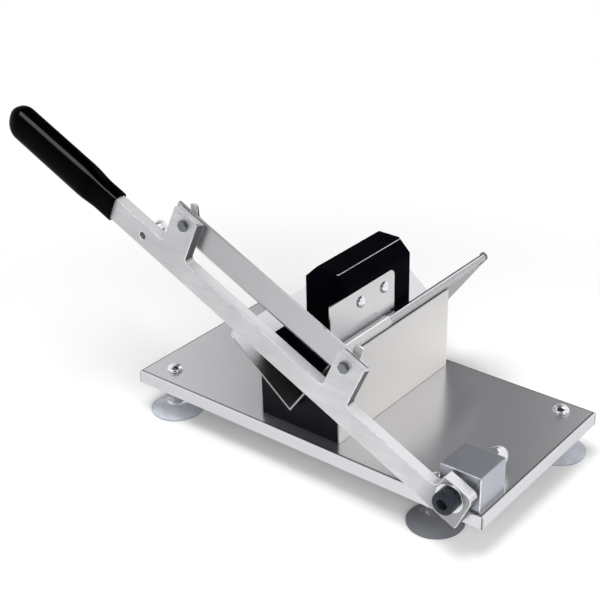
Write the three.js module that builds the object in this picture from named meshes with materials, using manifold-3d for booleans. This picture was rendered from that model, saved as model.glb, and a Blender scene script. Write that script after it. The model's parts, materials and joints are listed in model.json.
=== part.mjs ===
// Hand-lever meat slicer in millimetres: +X towards the pivot block, +Y to the back, +Z up.
// A blade on a long hinged lever shears past the open front end of a V trough, and a block that
// slides on a guide rod pushes the meat up to it. The base plate's centre is x = 0, y = 0 and the
// table is z = 0 while the pieces are made, and the finished group is moved to its box's bottom centre.
import * as THREE from "three";
import { mergeVertices } from "three/addons/utils/BufferGeometryUtils.js";
import Module from "manifold-3d";

const wasm = await Module();
wasm.setup();

// Clearances and facets
const seatGap = 0.2;
const shankGap = 0.2;
const runningGap = 0.2;
const cutOver = 1;
const roundFacets = 32;
const cupFacets = 24;
const smallFacets = 20;
const filletSteps = 4;

// Base plate: a folded tray, open underneath
const plateLength = 340;
const plateWidth = 171.5;
const plateHeight = 38;
const plateSheet = 1.5;
const plateLip = 11.5;
const plateBend = 1.6;
const cornerSlit = 0.5;

// Feet
const footInsetX = 23.5;
const footInsetFront = 19;
const footInsetBack = 15.3;
const footBesideBlock = 51;
const cupRadius = 22.5;
const cupRim = 3;
const cupSkirt = 1.2;
const cupHeight = 15;
const cupNeck = 8;
const cupHollow = 4.2;
const cupBoreDepth = 8.5;
const footShank = 4;
const footHead = 7.4;
const footHeadHeight = 4.6;
const footNutFlats = 13;
const footNutHeight = 6;

// Housing
const housingLeft = -45.3;
const housingRight = 33.5;
const housingDepth = 149.4;
const panelSheet = 1.5;
const panelFoot = 14;
const cheekThickness = 12;
const cheekScrewShank = 2.5;
const cheekScrewHead = 4.8;
const cheekScrewHeadHeight = 2.8;
const cheekScrewLength = 14;
const cheekScrewInset = 15;

// Meat trough: the V bottom, its walls and the overhangs past the housing
const troughBottomX = -7;
const troughBottomRise = 22.4;
const troughSheet = 1.5;
const leftWallAngle = THREE.MathUtils.degToRad(38.4);
const rightWallAngle = THREE.MathUtils.degToRad(53.7);
const leftWallOverhang = 21.7;
const troughFrontOverhang = 10;
const troughRearOverhang = 51.7;
const troughCorner = 7;

// Guide rod and its two lugs
const rodRadius = 3;
const rodRise = 83;
const lugRadius = 4;
const lugSheet = 1.5;
const rodTail = 1.2;

// Slider on the rod: a plastic liner inside a steel tube that is welded to a side plate
const linerWall = 0.55;
const tubeWall = 0.7;
const tubeLength = 65;
const tubeSetback = 4;
const weldBite = 0.3;
const sidePlateSheet = 1.5;
const sidePlateOuterX = 31;
const sidePlateLength = 81;
const sidePlateTopRise = 121;
const sidePlateBottomRise = 79.5;
const sidePlateCorner = 6;
const sideScrewBelowTop = 11;
const sideScrewSpacing = 30;
const sideScrewShank = 2.5;
const sideScrewHead = 4.6;
const sideScrewHeadHeight = 2.6;
const sideScrewDepth = 12;

// Pusher block: a black prism with a V foot, a left shoulder and a chamfered grip on top
const pusherSetback = 28;
const pusherLength = 80.4;
const pusherGripWidth = 40.5;
const pusherTopRise = 135.2;
const pusherChamfer = 10.6;
const pusherTroughGap = 0.6;
const pusherTipFlat = 3;
const pusherFootReach = 57;
const pusherShoulderSlope = THREE.MathUtils.degToRad(40.6);
const pusherEdgeRadius = 1;

// Pivot block, bolt, washers and cap nut
const pivotFromRightEdge = 21;
const pivotRise = 13.8;
const blockLength = 34.5;
const blockDepth = 33.8;
const blockHeight = 29.5;
const blockInset = 2.5;
const blockEdge = 0.8;
const blockScrewSpacing = 22;
const blockScrewShank = 3;
const blockScrewHead = 5.2;
const blockScrewHeadHeight = 3.2;
const blockScrewLength = 15;
const pivotShank = 6;
const pivotHead = 9;
const pivotHeadHeight = 9;
const pivotSocketFlats = 10;
const pivotSocketDepth = 5;
const washerRadius = 11.7;
const washerSheet = 1.8;
const spacerRadius = 11;
const capNutFlats = 18;
const capNutHex = 11.5;
const capNutHeight = 25;
const capNutBoreDepth = 16;

// Lever arm, in the lever's own frame: reach along the bar from the pivot, rise square to it
const restAngle = THREE.MathUtils.degToRad(25);
const armThickness = 9.3;
const armPlateGap = 0.45;
const armBottom = -21.5;
const armTop = -2.5;
const handleTop = -0.5;
const pivotEarEnd = -15;
const pivotEarTop = 12;
const pivotEarReach = 12;
const pivotEarFillet = 7;
const earTop = 37;
const earTopFall = 4;
const earChamfer = 1.5;
const innerEarFromMiddle = 48.5;
const outerEarReach = 272;
const earWidth = 24.5;
const earFillet = 3.5;
const cornerRadius = 1.5;
const tongueReach = 462;

// Hand grip
const gripCover = 115;
const gripTipWall = 16;
const gripNeckLength = 19;
const gripSwellLength = 43;
const gripNeckHeight = 26;
const gripNeckThickness = 15;
const gripHeight = 31;
const gripThickness = 20;
const gripTipLength = 15;
const gripRings = 26;
const gripRingPoints = 28;

// Blade, its screws and wing nuts
const bladeThickness = 2.5;
const bladeEdge = 6.4;
const bladeTop = 33.5;
const bladeBevel = 3.6;
const bladeEdgeFlat = 0.25;
const bladeEndInset = 2.5;
const bladePastEar = 4;
const shearGap = 0.4;
const bladeScrewShank = 2.5;
const bladeScrewFlats = 8;
const bladeScrewHeadHeight = 3.5;
const bladeScrewRise = 28;
const innerScrewInset = 14.7;
const outerScrewInset = 10.4;
const wingHub = 4.6;
const wingHubHeight = 2.8;
const wingSpan = 13;
const wingWidth = 7;
const wingThickness = 1.8;
const wingCorner = 1.2;
const innerWingTurn = THREE.MathUtils.degToRad(-8);
const outerWingTurn = THREE.MathUtils.degToRad(-30);

// Stop bolt, screwed in from behind so that its tip shows in the arm's hole, and the sleeve under its head
const stopBeforeGrip = 31;
const stopRise = -11.5;
const stopShank = 3;
const stopTipDepth = 1;
const stopHeadFlats = 10;
const stopHeadHeight = 4;
const stopSleeve = 5.3;
const stopSleeveLength = 9.5;
const dimpleInset = 18;
const dimpleRise = 33;
const dimpleRadius = 1.2;
const dimpleDepth = 1;

// Places that follow from the sizes above
const plateFront = -plateWidth / 2;
const armRear = plateFront - armPlateGap;
const armFront = armRear - armThickness;
const bladeRear = armRear + seatGap + bladeThickness;
const troughFront = bladeRear + shearGap;
const housingFront = troughFront + troughFrontOverhang;
const housingRear = housingFront + housingDepth;
const troughRear = housingRear + troughRearOverhang;
const troughBottomZ = plateHeight + troughBottomRise;
const leftWallTopX = housingLeft - leftWallOverhang;
const linerInner = rodRadius + runningGap;
const linerOuter = linerInner + linerWall;
const tubeInner = linerOuter + runningGap;
const tubeOuter = tubeInner + tubeWall;
const rodX = sidePlateOuterX + tubeOuter - weldBite;
const rodZ = plateHeight + rodRise;
const tubeFront = troughFront + tubeSetback;
const pusherFront = troughFront + pusherSetback;
const pusherRight = sidePlateOuterX - sidePlateSheet - seatGap;
const pusherLeft = pusherRight - pusherGripWidth;
const pivotX = plateLength / 2 - pivotFromRightEdge;
const pivotZ = plateHeight + pivotRise;
const blockFront = plateFront + blockInset;
const blockRear = blockFront + blockDepth;
const innerEarReach = pivotX - innerEarFromMiddle;
const bladeStart = innerEarReach + bladeEndInset;
const bladeEnd = outerEarReach + earWidth + bladePastEar;
const gripStart = tongueReach - gripCover;
const stopReach = gripStart - stopBeforeGrip;
const gripReach = tongueReach + gripTipWall;
const gripNeckReach = gripStart + gripNeckLength;
const gripSwellReach = gripStart + gripSwellLength;

// Finishes
function finish(colour, roughness, metalness, opacity = 1) {
  return new THREE.MeshStandardMaterial({
    color: colour,
    roughness,
    metalness,
    opacity,
    transparent: opacity < 1,
    flatShading: true,
  });
}
const brushedSteel = () => finish(0xb4b3b4, 0.38, 0.9);
const polishedSteel = () => finish(0xcfcfd2, 0.16, 1);
const panelSteel = () => finish(0xd6d2cc, 0.42, 0.75);
const chrome = () => finish(0xe6e7ea, 0.08, 1);
const castAluminium = () => finish(0x9aa1ab, 0.45, 0.85);
const milledAluminium = () => finish(0xbfbfc3, 0.4, 0.85);
const blackOxide = () => finish(0x16181c, 0.4, 0.6);
const blackPlastic = () => finish(0x0d0f14, 0.32, 0);
const dippedVinyl = () => finish(0x060608, 0.16, 0);
const clearVinyl = () => finish(0xa9b3bb, 0.25, 0, 0.7);
const naturalNylon = () => finish(0xe6e2d4, 0.5, 0);

// A closed geometry as a solid: shared corners merged, empty triangles dropped, faces turned outwards
function solid(geometry) {
  geometry.deleteAttribute("normal");
  geometry.deleteAttribute("uv");
  const merged = mergeVertices(geometry);
  const positions = merged.attributes.position.array;
  const corners = merged.index.array;
  const triangles = [];
  for (let i = 0; i < corners.length; i += 3) {
    const [a, b, c] = [corners[i], corners[i + 1], corners[i + 2]];
    if (a !== b && b !== c && c !== a) triangles.push([a, b, c]);
  }
  const point = (i) => new THREE.Vector3().fromArray(positions, 3 * i);
  const volume = triangles.reduce(
    (sum, [a, b, c]) => sum + point(a).dot(point(b).cross(point(c))),
    0,
  );
  const outward = volume < 0 ? triangles.map(([a, b, c]) => [a, c, b]) : triangles;
  const mesh = new wasm.Mesh({
    numProp: 3,
    vertProperties: new Float32Array(positions),
    triVerts: new Uint32Array(outward.flat()),
  });
  return new wasm.Manifold(mesh);
}

function joined(first, ...others) {
  return others.reduce((whole, piece) => whole.add(piece), first);
}

function cut(first, ...others) {
  return others.reduce((whole, piece) => whole.subtract(piece), first);
}

function box([x0, x1], [y0, y1], [z0, z1]) {
  const geometry = new THREE.BoxGeometry(x1 - x0, y1 - y0, z1 - z0);
  geometry.translate((x0 + x1) / 2, (y0 + y1) / 2, (z0 + z1) / 2);
  return solid(geometry);
}

// Turns a geometry made about the Y axis to lie along x, y or z, and moves it to its axis
function layAlong(geometry, axis, [a, b]) {
  if (axis === "x") geometry.rotateZ(-Math.PI / 2).translate(0, a, b);
  if (axis === "y") geometry.translate(a, 0, b);
  if (axis === "z") geometry.rotateX(Math.PI / 2).translate(a, b, 0);
  return geometry;
}

// A round bar along an axis, from one station to another, centred on the two other coordinates
function round(axis, radius, [from, to], centre, facets = roundFacets) {
  const geometry = new THREE.CylinderGeometry(radius, radius, to - from, facets);
  geometry.translate(0, (from + to) / 2, 0);
  return solid(layAlong(geometry, axis, centre));
}

function hexagonal(axis, acrossFlats, span, centre) {
  return round(axis, acrossFlats / 2 / Math.cos(Math.PI / 6), span, centre, 6);
}

// A profile of [radius, station] points turned about an axis
function turned(axis, profile, centre, facets = roundFacets) {
  const points = profile.map(([radius, station]) => new THREE.Vector2(radius, station));
  return solid(layAlong(new THREE.LatheGeometry(points, facets), axis, centre));
}

// A quarter of an ellipse in a profile, from the rim [radius, from] to the axis at [0, to]
function domeProfile(radius, from, to, steps = 6) {
  const points = [];
  for (let i = 0; i <= steps; i += 1) {
    const angle = (i / steps) * (Math.PI / 2);
    points.push([radius * Math.cos(angle), from + (to - from) * Math.sin(angle)]);
  }
  points[steps][0] = 0;
  return points;
}

// An outline of [x, y, radius] corners, where a corner with a radius becomes an arc
function outline(corners) {
  const points = [];
  corners.forEach(([x, y, radius = 0], i) => {
    const here = new THREE.Vector2(x, y);
    if (radius === 0) {
      points.push(here);
      return;
    }
    const [px, py] = corners[(i + corners.length - 1) % corners.length];
    const [nx, ny] = corners[(i + 1) % corners.length];
    const back = new THREE.Vector2(px, py).sub(here).normalize();
    const ahead = new THREE.Vector2(nx, ny).sub(here).normalize();
    const half = Math.acos(THREE.MathUtils.clamp(back.dot(ahead), -1, 1)) / 2;
    const middle = back.clone().add(ahead).normalize();
    const centre = here.clone().addScaledVector(middle, radius / Math.sin(half));
    const start = here.clone().addScaledVector(back, radius / Math.tan(half)).sub(centre);
    const turn = (Math.PI - 2 * half) * Math.sign(back.cross(ahead)) * -1;
    for (let k = 0; k <= filletSteps; k += 1) {
      const arm = start.clone().rotateAround(new THREE.Vector2(), (turn * k) / filletSteps);
      points.push(centre.clone().add(arm));
    }
  });
  return new THREE.Shape(points);
}

// An outline drawn in x and z, extruded along y between two stations
function slab(corners, [y0, y1]) {
  const geometry = new THREE.ExtrudeGeometry(outline(corners), { depth: y1 - y0, bevelEnabled: false });
  geometry.rotateX(Math.PI / 2).translate(0, y1, 0);
  return solid(geometry);
}

// An outline drawn in y and z, extruded along x between two stations
function crossSlab(corners, [x0, x1]) {
  const geometry = new THREE.ExtrudeGeometry(outline(corners), { depth: x1 - x0, bevelEnabled: false });
  geometry.rotateX(Math.PI / 2).rotateZ(Math.PI / 2).translate(x0, 0, 0);
  return solid(geometry);
}

function addPart(group, name, shape, material) {
  const { vertProperties, triVerts } = shape.getMesh();
  const geometry = new THREE.BufferGeometry();
  geometry.setAttribute("position", new THREE.BufferAttribute(vertProperties, 3));
  geometry.setIndex(new THREE.BufferAttribute(triVerts, 1));
  geometry.computeVertexNormals();
  const mesh = new THREE.Mesh(geometry, material);
  mesh.name = name;
  group.add(mesh);
}

// Fasteners

function nut(axis, acrossFlats, bore, span, centre) {
  const hole = round(axis, bore + shankGap, [span[0] - cutOver, span[1] + cutOver], centre, smallFacets);
  return cut(hexagonal(axis, acrossFlats, span, centre), hole);
}

function washer(radius, span, centre) {
  const hole = round("y", pivotShank + shankGap, [span[0] - cutOver, span[1] + cutOver], centre);
  return cut(round("y", radius, span, centre), hole);
}

// A flat-headed screw that points up, its head under the seat
function screwFromBelow(shank, head, headHeight, length, seat, centre) {
  const headSpan = [seat - seatGap - headHeight, seat - seatGap];
  const recess = hexagonal("z", shank * 1.6, [headSpan[0] - cutOver, headSpan[0] + headHeight / 2], centre);
  const stem = round("z", shank, [headSpan[1] - headHeight / 2, seat + length], centre, smallFacets);
  return joined(cut(round("z", head, headSpan, centre, smallFacets), recess), stem);
}

// Base plate and feet

function footPlaces() {
  const x = plateLength / 2 - footInsetX;
  const front = -plateWidth / 2 + footInsetFront;
  const back = plateWidth / 2 - footInsetBack;
  return {
    front_left: [-x, front],
    back_left: [-x, back],
    back_right: [x, back],
    front_right: [plateLength / 2 - footBesideBlock, front],
  };
}

function cheekScrewPlaces() {
  const xs = [housingLeft + cheekScrewInset, housingRight - cheekScrewInset];
  const ys = [housingFront + cheekThickness / 2, housingRear - cheekThickness / 2];
  return ys.flatMap((y) => xs.map((x) => [x, y]));
}

function blockScrewPlaces() {
  const y = (blockFront + blockRear) / 2;
  return [-1, 1].map((side) => [pivotX + (side * blockScrewSpacing) / 2, y]);
}

function basePlate() {
  const [x, y] = [plateLength / 2, plateWidth / 2];
  const bottom = plateHeight - plateLip;
  const roundedTop = (half) => [
    [-half, bottom],
    [half, bottom],
    [half, plateHeight, plateBend],
    [-half, plateHeight, plateBend],
  ];
  const outer = slab(roundedTop(x), [-y, y]).intersect(crossSlab(roundedTop(y), [-x, x]));
  const inner = [x - plateSheet, y - plateSheet];
  const hollow = box([-inner[0], inner[0]], [-inner[1], inner[1]], [bottom - cutOver, plateHeight - plateSheet]);
  const slits = [-1, 1].flatMap((sideX) =>
    [-1, 1].map((sideY) => {
      const across = [sideX * (inner[0] - cutOver), sideX * (x + cutOver)].sort((a, b) => a - b);
      const along = [sideY * inner[1], sideY * (inner[1] - cornerSlit)].sort((a, b) => a - b);
      return box(across, along, [bottom - cutOver, plateHeight - plateBend - plateSheet]);
    }),
  );
  const through = [plateHeight - plateSheet - cutOver, plateHeight + cutOver];
  const hole = (shank) => (centre) => round("z", shank + shankGap, through, centre, smallFacets);
  return cut(
    outer,
    hollow,
    ...slits,
    ...Object.values(footPlaces()).map(hole(footShank)),
    ...cheekScrewPlaces().map(hole(cheekScrewShank)),
    ...blockScrewPlaces().map(hole(blockScrewShank)),
  );
}

function suctionCup(centre) {
  const bore = footShank + shankGap;
  const boreFloor = cupHeight - cupBoreDepth;
  const profile = [
    [0, cupHollow],
    [cupRadius * 0.5, cupHollow * 0.8],
    [cupRadius - cupRim, 0],
    [cupRadius, 0],
    [cupRadius, cupSkirt],
    [cupRadius * 0.8, cupSkirt * 2.4],
    [cupRadius * 0.52, cupSkirt * 2.4 + cupHollow * 0.5],
    [cupNeck + 1, boreFloor + 2],
    [cupNeck, boreFloor + 4],
    [cupNeck, cupHeight],
    [bore, cupHeight],
    [bore, boreFloor],
    [0, boreFloor],
  ];
  return turned("z", profile, centre, cupFacets);
}

function footScrew(centre) {
  const seat = plateHeight + seatGap;
  const profile = [
    [0, cupHeight - cupBoreDepth + seatGap],
    [footShank, cupHeight - cupBoreDepth + seatGap],
    [footShank, seat],
    ...domeProfile(footHead, seat, seat + footHeadHeight),
  ];
  return turned("z", profile, centre, smallFacets + 4);
}

function addFeet(group) {
  const cupNut = [cupHeight + seatGap, cupHeight + seatGap + footNutHeight];
  const underPlate = plateHeight - plateSheet - seatGap;
  for (const [place, centre] of Object.entries(footPlaces())) {
    addPart(group, `suction_cup_${place}`, suctionCup(centre), clearVinyl());
    addPart(group, `foot_screw_${place}`, footScrew(centre), chrome());
    addPart(group, `foot_nut_${place}`, nut("z", footNutFlats, footShank, cupNut, centre), chrome());
    const lockNut = nut("z", footNutFlats, footShank, [underPlate - footNutHeight, underPlate], centre);
    addPart(group, `plate_nut_${place}`, lockNut, chrome());
  }
}

// Housing and trough

// The V's corner points at a depth below its inner faces: left end, bottom, right end
function troughLine(depth) {
  const [cosL, sinL] = [Math.cos(leftWallAngle), Math.sin(leftWallAngle)];
  const [cosR, sinR] = [Math.cos(rightWallAngle), Math.sin(rightWallAngle)];
  const leftRun = (troughBottomX - leftWallTopX) / cosL;
  const rightRun = (housingRight - troughBottomX) / cosR;
  const shift = (depth / cosR - depth / cosL) / (sinR / cosR + sinL / cosL);
  return [
    [troughBottomX - leftRun * cosL - depth * sinL, troughBottomZ + leftRun * sinL - depth * cosL],
    [troughBottomX + shift, troughBottomZ - depth / cosR + (shift * sinR) / cosR],
    [troughBottomX + rightRun * cosR + depth * sinR, troughBottomZ + rightRun * sinR - depth * cosR],
  ];
}

// Height of the V at x, at a depth below its inner faces
function troughHeight(x, depth) {
  const left = troughBottomZ - depth / Math.cos(leftWallAngle) + (troughBottomX - x) * Math.tan(leftWallAngle);
  const right = troughBottomZ - depth / Math.cos(rightWallAngle) + (x - troughBottomX) * Math.tan(rightWallAngle);
  return Math.max(left, right);
}

// Cuts the left wall's top corner to a round one, at the front (side 1) or the back (side -1)
function cornerCutter(side, end) {
  const run = (troughBottomX - leftWallTopX) / Math.cos(leftWallAngle);
  const shape = new THREE.Shape();
  shape.moveTo(run - troughCorner, 0);
  shape.absarc(run - troughCorner, troughCorner, troughCorner, -Math.PI / 2, 0, false);
  shape.lineTo(run + cutOver, troughCorner);
  shape.lineTo(run + cutOver, -cutOver);
  shape.lineTo(run - troughCorner, -cutOver);
  const depth = 2 * troughSheet + 2 * cutOver;
  const geometry = new THREE.ExtrudeGeometry(shape, { depth, bevelEnabled: false, curveSegments: filletSteps });
  geometry.translate(0, 0, -depth / 2);
  geometry.scale(1, side, 1);
  geometry.rotateY(leftWallAngle - Math.PI);
  geometry.translate(troughBottomX, end, troughBottomZ);
  return solid(geometry);
}

// A lug folded up from the right wall's top edge, bored for the guide rod
function rodLug(span) {
  const end = troughLine(troughSheet)[2];
  const footX = rodX - lugRadius + seatGap;
  const footZ = troughHeight(footX, troughSheet / 2);
  const shape = new THREE.Shape();
  shape.moveTo(footX, footZ);
  shape.lineTo(end[0], end[1]);
  shape.lineTo(rodX + lugRadius, rodZ);
  shape.absarc(rodX, rodZ, lugRadius, 0, Math.PI, false);
  const geometry = new THREE.ExtrudeGeometry(shape, {
    depth: span[1] - span[0],
    bevelEnabled: false,
    curveSegments: smallFacets / 2,
  });
  geometry.rotateX(Math.PI / 2).translate(0, span[1], 0);
  const bore = round("y", rodRadius + shankGap, [span[0] - cutOver, span[1] + cutOver], [rodX, rodZ], smallFacets);
  return cut(solid(geometry), bore);
}

function meatTrough() {
  const walls = slab([...troughLine(0), ...troughLine(troughSheet).reverse()], [troughFront, troughRear]);
  const rounded = cut(walls, cornerCutter(1, troughFront), cornerCutter(-1, troughRear));
  const frontLug = rodLug([troughFront, troughFront + lugSheet]);
  const rearLug = rodLug([troughRear - lugSheet, troughRear]);
  return joined(rounded, frontLug, rearLug);
}

function cheek([y0, y1]) {
  const depth = troughSheet + seatGap;
  const left = housingLeft + panelSheet + seatGap;
  const right = housingRight - panelSheet - seatGap;
  const bottom = plateHeight + seatGap;
  const body = slab(
    [
      [left, bottom],
      [right, bottom],
      [right, troughHeight(right, depth)],
      troughLine(depth)[1],
      [left, troughHeight(left, depth)],
    ],
    [y0, y1],
  );
  const holes = cheekScrewPlaces()
    .filter(([, y]) => y > y0 && y < y1)
    .map((centre) => round(
      "z",
      cheekScrewShank + shankGap,
      [bottom - cutOver, bottom + cheekScrewLength],
      centre,
      smallFacets,
    ));
  return cut(body, ...holes);
}

// A side panel: an upright sheet whose foot is folded inwards between the cheeks
function sidePanel(outer, inwards) {
  const inner = outer + inwards * panelSheet;
  const footEnd = outer + inwards * panelFoot;
  const bottom = plateHeight + seatGap;
  const top = troughHeight(inner, troughSheet + seatGap);
  const wallSpan = [outer, inner].sort((a, b) => a - b);
  const footSpan = [outer, footEnd].sort((a, b) => a - b);
  const between = [housingFront + cheekThickness + seatGap, housingRear - cheekThickness - seatGap];
  const wall = box(wallSpan, [housingFront, housingRear], [bottom, top]);
  return joined(wall, box(footSpan, between, [bottom, bottom + panelSheet]));
}

function cheekScrew(centre) {
  const length = plateSheet + cheekScrewLength - cutOver;
  const seat = plateHeight - plateSheet;
  return screwFromBelow(cheekScrewShank, cheekScrewHead, cheekScrewHeadHeight, length, seat, centre);
}

function addHousing(group) {
  const front = cheek([housingFront, housingFront + cheekThickness]);
  const rear = cheek([housingRear - cheekThickness, housingRear]);
  addPart(group, "front_cheek", front, blackPlastic());
  addPart(group, "rear_cheek", rear, blackPlastic());
  addPart(group, "left_panel", sidePanel(housingLeft, 1), panelSteel());
  addPart(group, "right_panel", sidePanel(housingRight, -1), panelSteel());
  addPart(group, "meat_trough", meatTrough(), polishedSteel());
  cheekScrewPlaces().forEach((centre, i) => {
    addPart(group, `cheek_screw_${i + 1}`, cheekScrew(centre), chrome());
  });
  const rod = round("y", rodRadius, [troughFront + seatGap, troughRear + rodTail], [rodX, rodZ], smallFacets + 4);
  addPart(group, "guide_rod", rod, chrome());
}

// Pivot block and bolt

function pivotBlock() {
  const [x0, x1] = [pivotX - blockLength / 2, pivotX + blockLength / 2];
  const bottom = plateHeight + seatGap;
  const top = plateHeight + blockHeight;
  const body = slab(
    [
      [x0, bottom],
      [x1, bottom],
      [x1, top, blockEdge],
      [x0, top, blockEdge],
    ],
    [blockFront, blockRear],
  );
  const bore = round("y", pivotShank + shankGap, [blockFront - cutOver, blockRear + cutOver], [pivotX, pivotZ]);
  const screwHoles = blockScrewPlaces().map((centre) => round(
    "z",
    blockScrewShank + shankGap,
    [bottom - cutOver, bottom + blockScrewLength],
    centre,
    smallFacets,
  ));
  return cut(body, bore, ...screwHoles);
}

function blockScrew(centre) {
  const length = plateSheet + blockScrewLength - cutOver;
  const seat = plateHeight - plateSheet;
  return screwFromBelow(blockScrewShank, blockScrewHead, blockScrewHeadHeight, length, seat, centre);
}

function socketBolt(shank, head, headHeight, socketFlats, socketDepth, [headFront, tail], centre) {
  const headRear = headFront + headHeight;
  const crown = head - headHeight * 0.08;
  const profile = [
    [0, headFront],
    [crown, headFront],
    [head, headFront + headHeight * 0.08],
    [head, headRear],
    [shank, headRear],
    [shank, tail],
    [0, tail],
  ];
  const socket = hexagonal("y", socketFlats, [headFront - cutOver, headFront + socketDepth], centre);
  return cut(turned("y", profile, centre), socket);
}

function capNut([from, to], centre) {
  const hex = hexagonal("y", capNutFlats, [from, from + capNutHex], centre);
  const domeStart = from + capNutHex - seatGap;
  const dome = [[0, domeStart], ...domeProfile((capNutFlats / 2) * 0.93, domeStart, to)];
  const bore = round("y", pivotShank + shankGap, [from - cutOver, from + capNutBoreDepth], centre);
  return cut(joined(hex, turned("y", dome, centre)), bore);
}

function addPivot(group) {
  const centre = [pivotX, pivotZ];
  const frontWasher = [armFront - seatGap - washerSheet, armFront - seatGap];
  const spacer = [armRear + seatGap, blockFront - seatGap];
  const rearWasher = [blockRear + seatGap, blockRear + seatGap + washerSheet];
  const cap = [rearWasher[1] + seatGap, rearWasher[1] + seatGap + capNutHeight];
  const bolt = [frontWasher[0] - seatGap - pivotHeadHeight, cap[0] + capNutBoreDepth - cutOver];
  addPart(group, "pivot_block", pivotBlock(), castAluminium());
  blockScrewPlaces().forEach((place, i) => {
    addPart(group, `block_screw_${i + 1}`, blockScrew(place), chrome());
  });
  const boltShape = socketBolt(
    pivotShank,
    pivotHead,
    pivotHeadHeight,
    pivotSocketFlats,
    pivotSocketDepth,
    bolt,
    centre,
  );
  addPart(group, "pivot_bolt", boltShape, blackOxide());
  addPart(group, "pivot_washer_front", washer(washerRadius, frontWasher, centre), chrome());
  addPart(group, "pivot_spacer", washer(spacerRadius, spacer, centre), chrome());
  addPart(group, "pivot_washer_rear", washer(washerRadius, rearWasher, centre), chrome());
  addPart(group, "pivot_cap_nut", capNut(cap, centre), chrome());
}

// Lever, drawn with the bar level: the reach from the pivot runs along -X

function bladeScrewPlaces() {
  return {
    inner: [-innerEarReach - innerScrewInset, bladeScrewRise],
    outer: [-outerEarReach - outerScrewInset, bladeScrewRise],
  };
}

function leverArm() {
  const bar = [
    [pivotEarEnd, armBottom, cornerRadius],
    [pivotEarEnd, pivotEarTop, 6],
    [pivotEarReach, pivotEarTop, cornerRadius],
    [pivotEarReach, armTop, pivotEarFillet],
    [innerEarReach, armTop, earFillet],
    [innerEarReach, earTop, cornerRadius],
    [innerEarReach + earWidth, earTop, cornerRadius],
    [innerEarReach + earWidth, armTop, earFillet],
    [outerEarReach, armTop, earFillet],
    [outerEarReach, earTop, cornerRadius],
    [outerEarReach + earWidth - earChamfer, earTop],
    [outerEarReach + earWidth, earTop - earChamfer],
    [outerEarReach + earWidth, handleTop, earFillet],
    [tongueReach, handleTop, 2 * cornerRadius],
    [tongueReach, armBottom, 2 * cornerRadius],
  ];
  const body = slab(bar.map(([reach, rise, radius]) => [-reach, rise, radius]), [armFront, armRear]);
  const through = [armFront - cutOver, armRear + cutOver];
  const pivotHole = round("y", pivotShank + runningGap, through, [0, 0]);
  const stopHole = round("y", stopShank + shankGap, through, [-stopReach, stopRise], smallFacets);
  const bladeHoles = Object.values(bladeScrewPlaces()).map((centre) =>
    round("y", bladeScrewShank + shankGap, through, centre, smallFacets),
  );
  const slope = earTopFall / armThickness;
  const earTopCut = crossSlab(
    [
      [armFront - cutOver, earTop + cutOver * slope],
      [armRear + cutOver, earTop - earTopFall - cutOver * slope],
      [armRear + cutOver, earTop + 2 * cutOver],
      [armFront - cutOver, earTop + 2 * cutOver],
    ],
    [-bladeEnd - cutOver, cutOver - innerEarReach],
  );
  const dimpleSpan = [armFront - cutOver, armFront + dimpleDepth];
  const dimple = round("y", dimpleRadius, dimpleSpan, [-outerEarReach - dimpleInset, dimpleRise], smallFacets / 2);
  return cut(body, earTopCut, pivotHole, stopHole, dimple, ...bladeHoles);
}

// One ring of the grip: a squared oval in y and z at a reach, its power 4 at the neck and 2.5 in the palm
function gripRing(reach) {
  const swell = THREE.MathUtils.smoothstep(reach, gripNeckReach, gripSwellReach);
  const intoTip = Math.max(0, (reach - (gripReach - gripTipLength)) / gripTipLength);
  const taper = Math.sqrt(Math.max(0, 1 - intoTip * intoTip));
  const halfHeight = (THREE.MathUtils.lerp(gripNeckHeight, gripHeight, swell) / 2) * taper;
  const halfThickness = (THREE.MathUtils.lerp(gripNeckThickness, gripThickness, swell) / 2) * taper;
  const power = 2 / THREE.MathUtils.lerp(4, 2.5, swell);
  const [middleY, middleZ] = [(armFront + armRear) / 2, (armBottom + handleTop) / 2];
  const ring = [];
  for (let i = 0; i < gripRingPoints; i += 1) {
    const angle = (i / gripRingPoints) * 2 * Math.PI;
    const [c, s] = [Math.cos(angle), Math.sin(angle)];
    const y = middleY + halfThickness * Math.sign(c) * Math.abs(c) ** power;
    const z = middleZ + halfHeight * Math.sign(s) * Math.abs(s) ** power;
    ring.push([-reach, y, z]);
  }
  return ring;
}

// Rings of equal count joined into a closed skin, each end closed by a fan
function lofted(rings) {
  const count = rings[0].length;
  const centre = (ring) => ring.reduce((sum, p) => sum.map((v, i) => v + p[i] / count), [0, 0, 0]);
  const positions = [...rings.flat(), centre(rings[0]), centre(rings[rings.length - 1])].flat();
  const triangles = [];
  for (let r = 0; r < rings.length - 1; r += 1) {
    for (let i = 0; i < count; i += 1) {
      const [a, b] = [r * count + i, r * count + ((i + 1) % count)];
      triangles.push(a, b, b + count, a, b + count, a + count);
    }
  }
  const [firstCap, lastCap, lastRing] = [rings.length * count, rings.length * count + 1, (rings.length - 1) * count];
  for (let i = 0; i < count; i += 1) {
    const next = (i + 1) % count;
    triangles.push(firstCap, next, i, lastCap, lastRing + i, lastRing + next);
  }
  const geometry = new THREE.BufferGeometry();
  geometry.setAttribute("position", new THREE.Float32BufferAttribute(positions, 3));
  geometry.setIndex(triangles);
  return solid(geometry);
}

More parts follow.
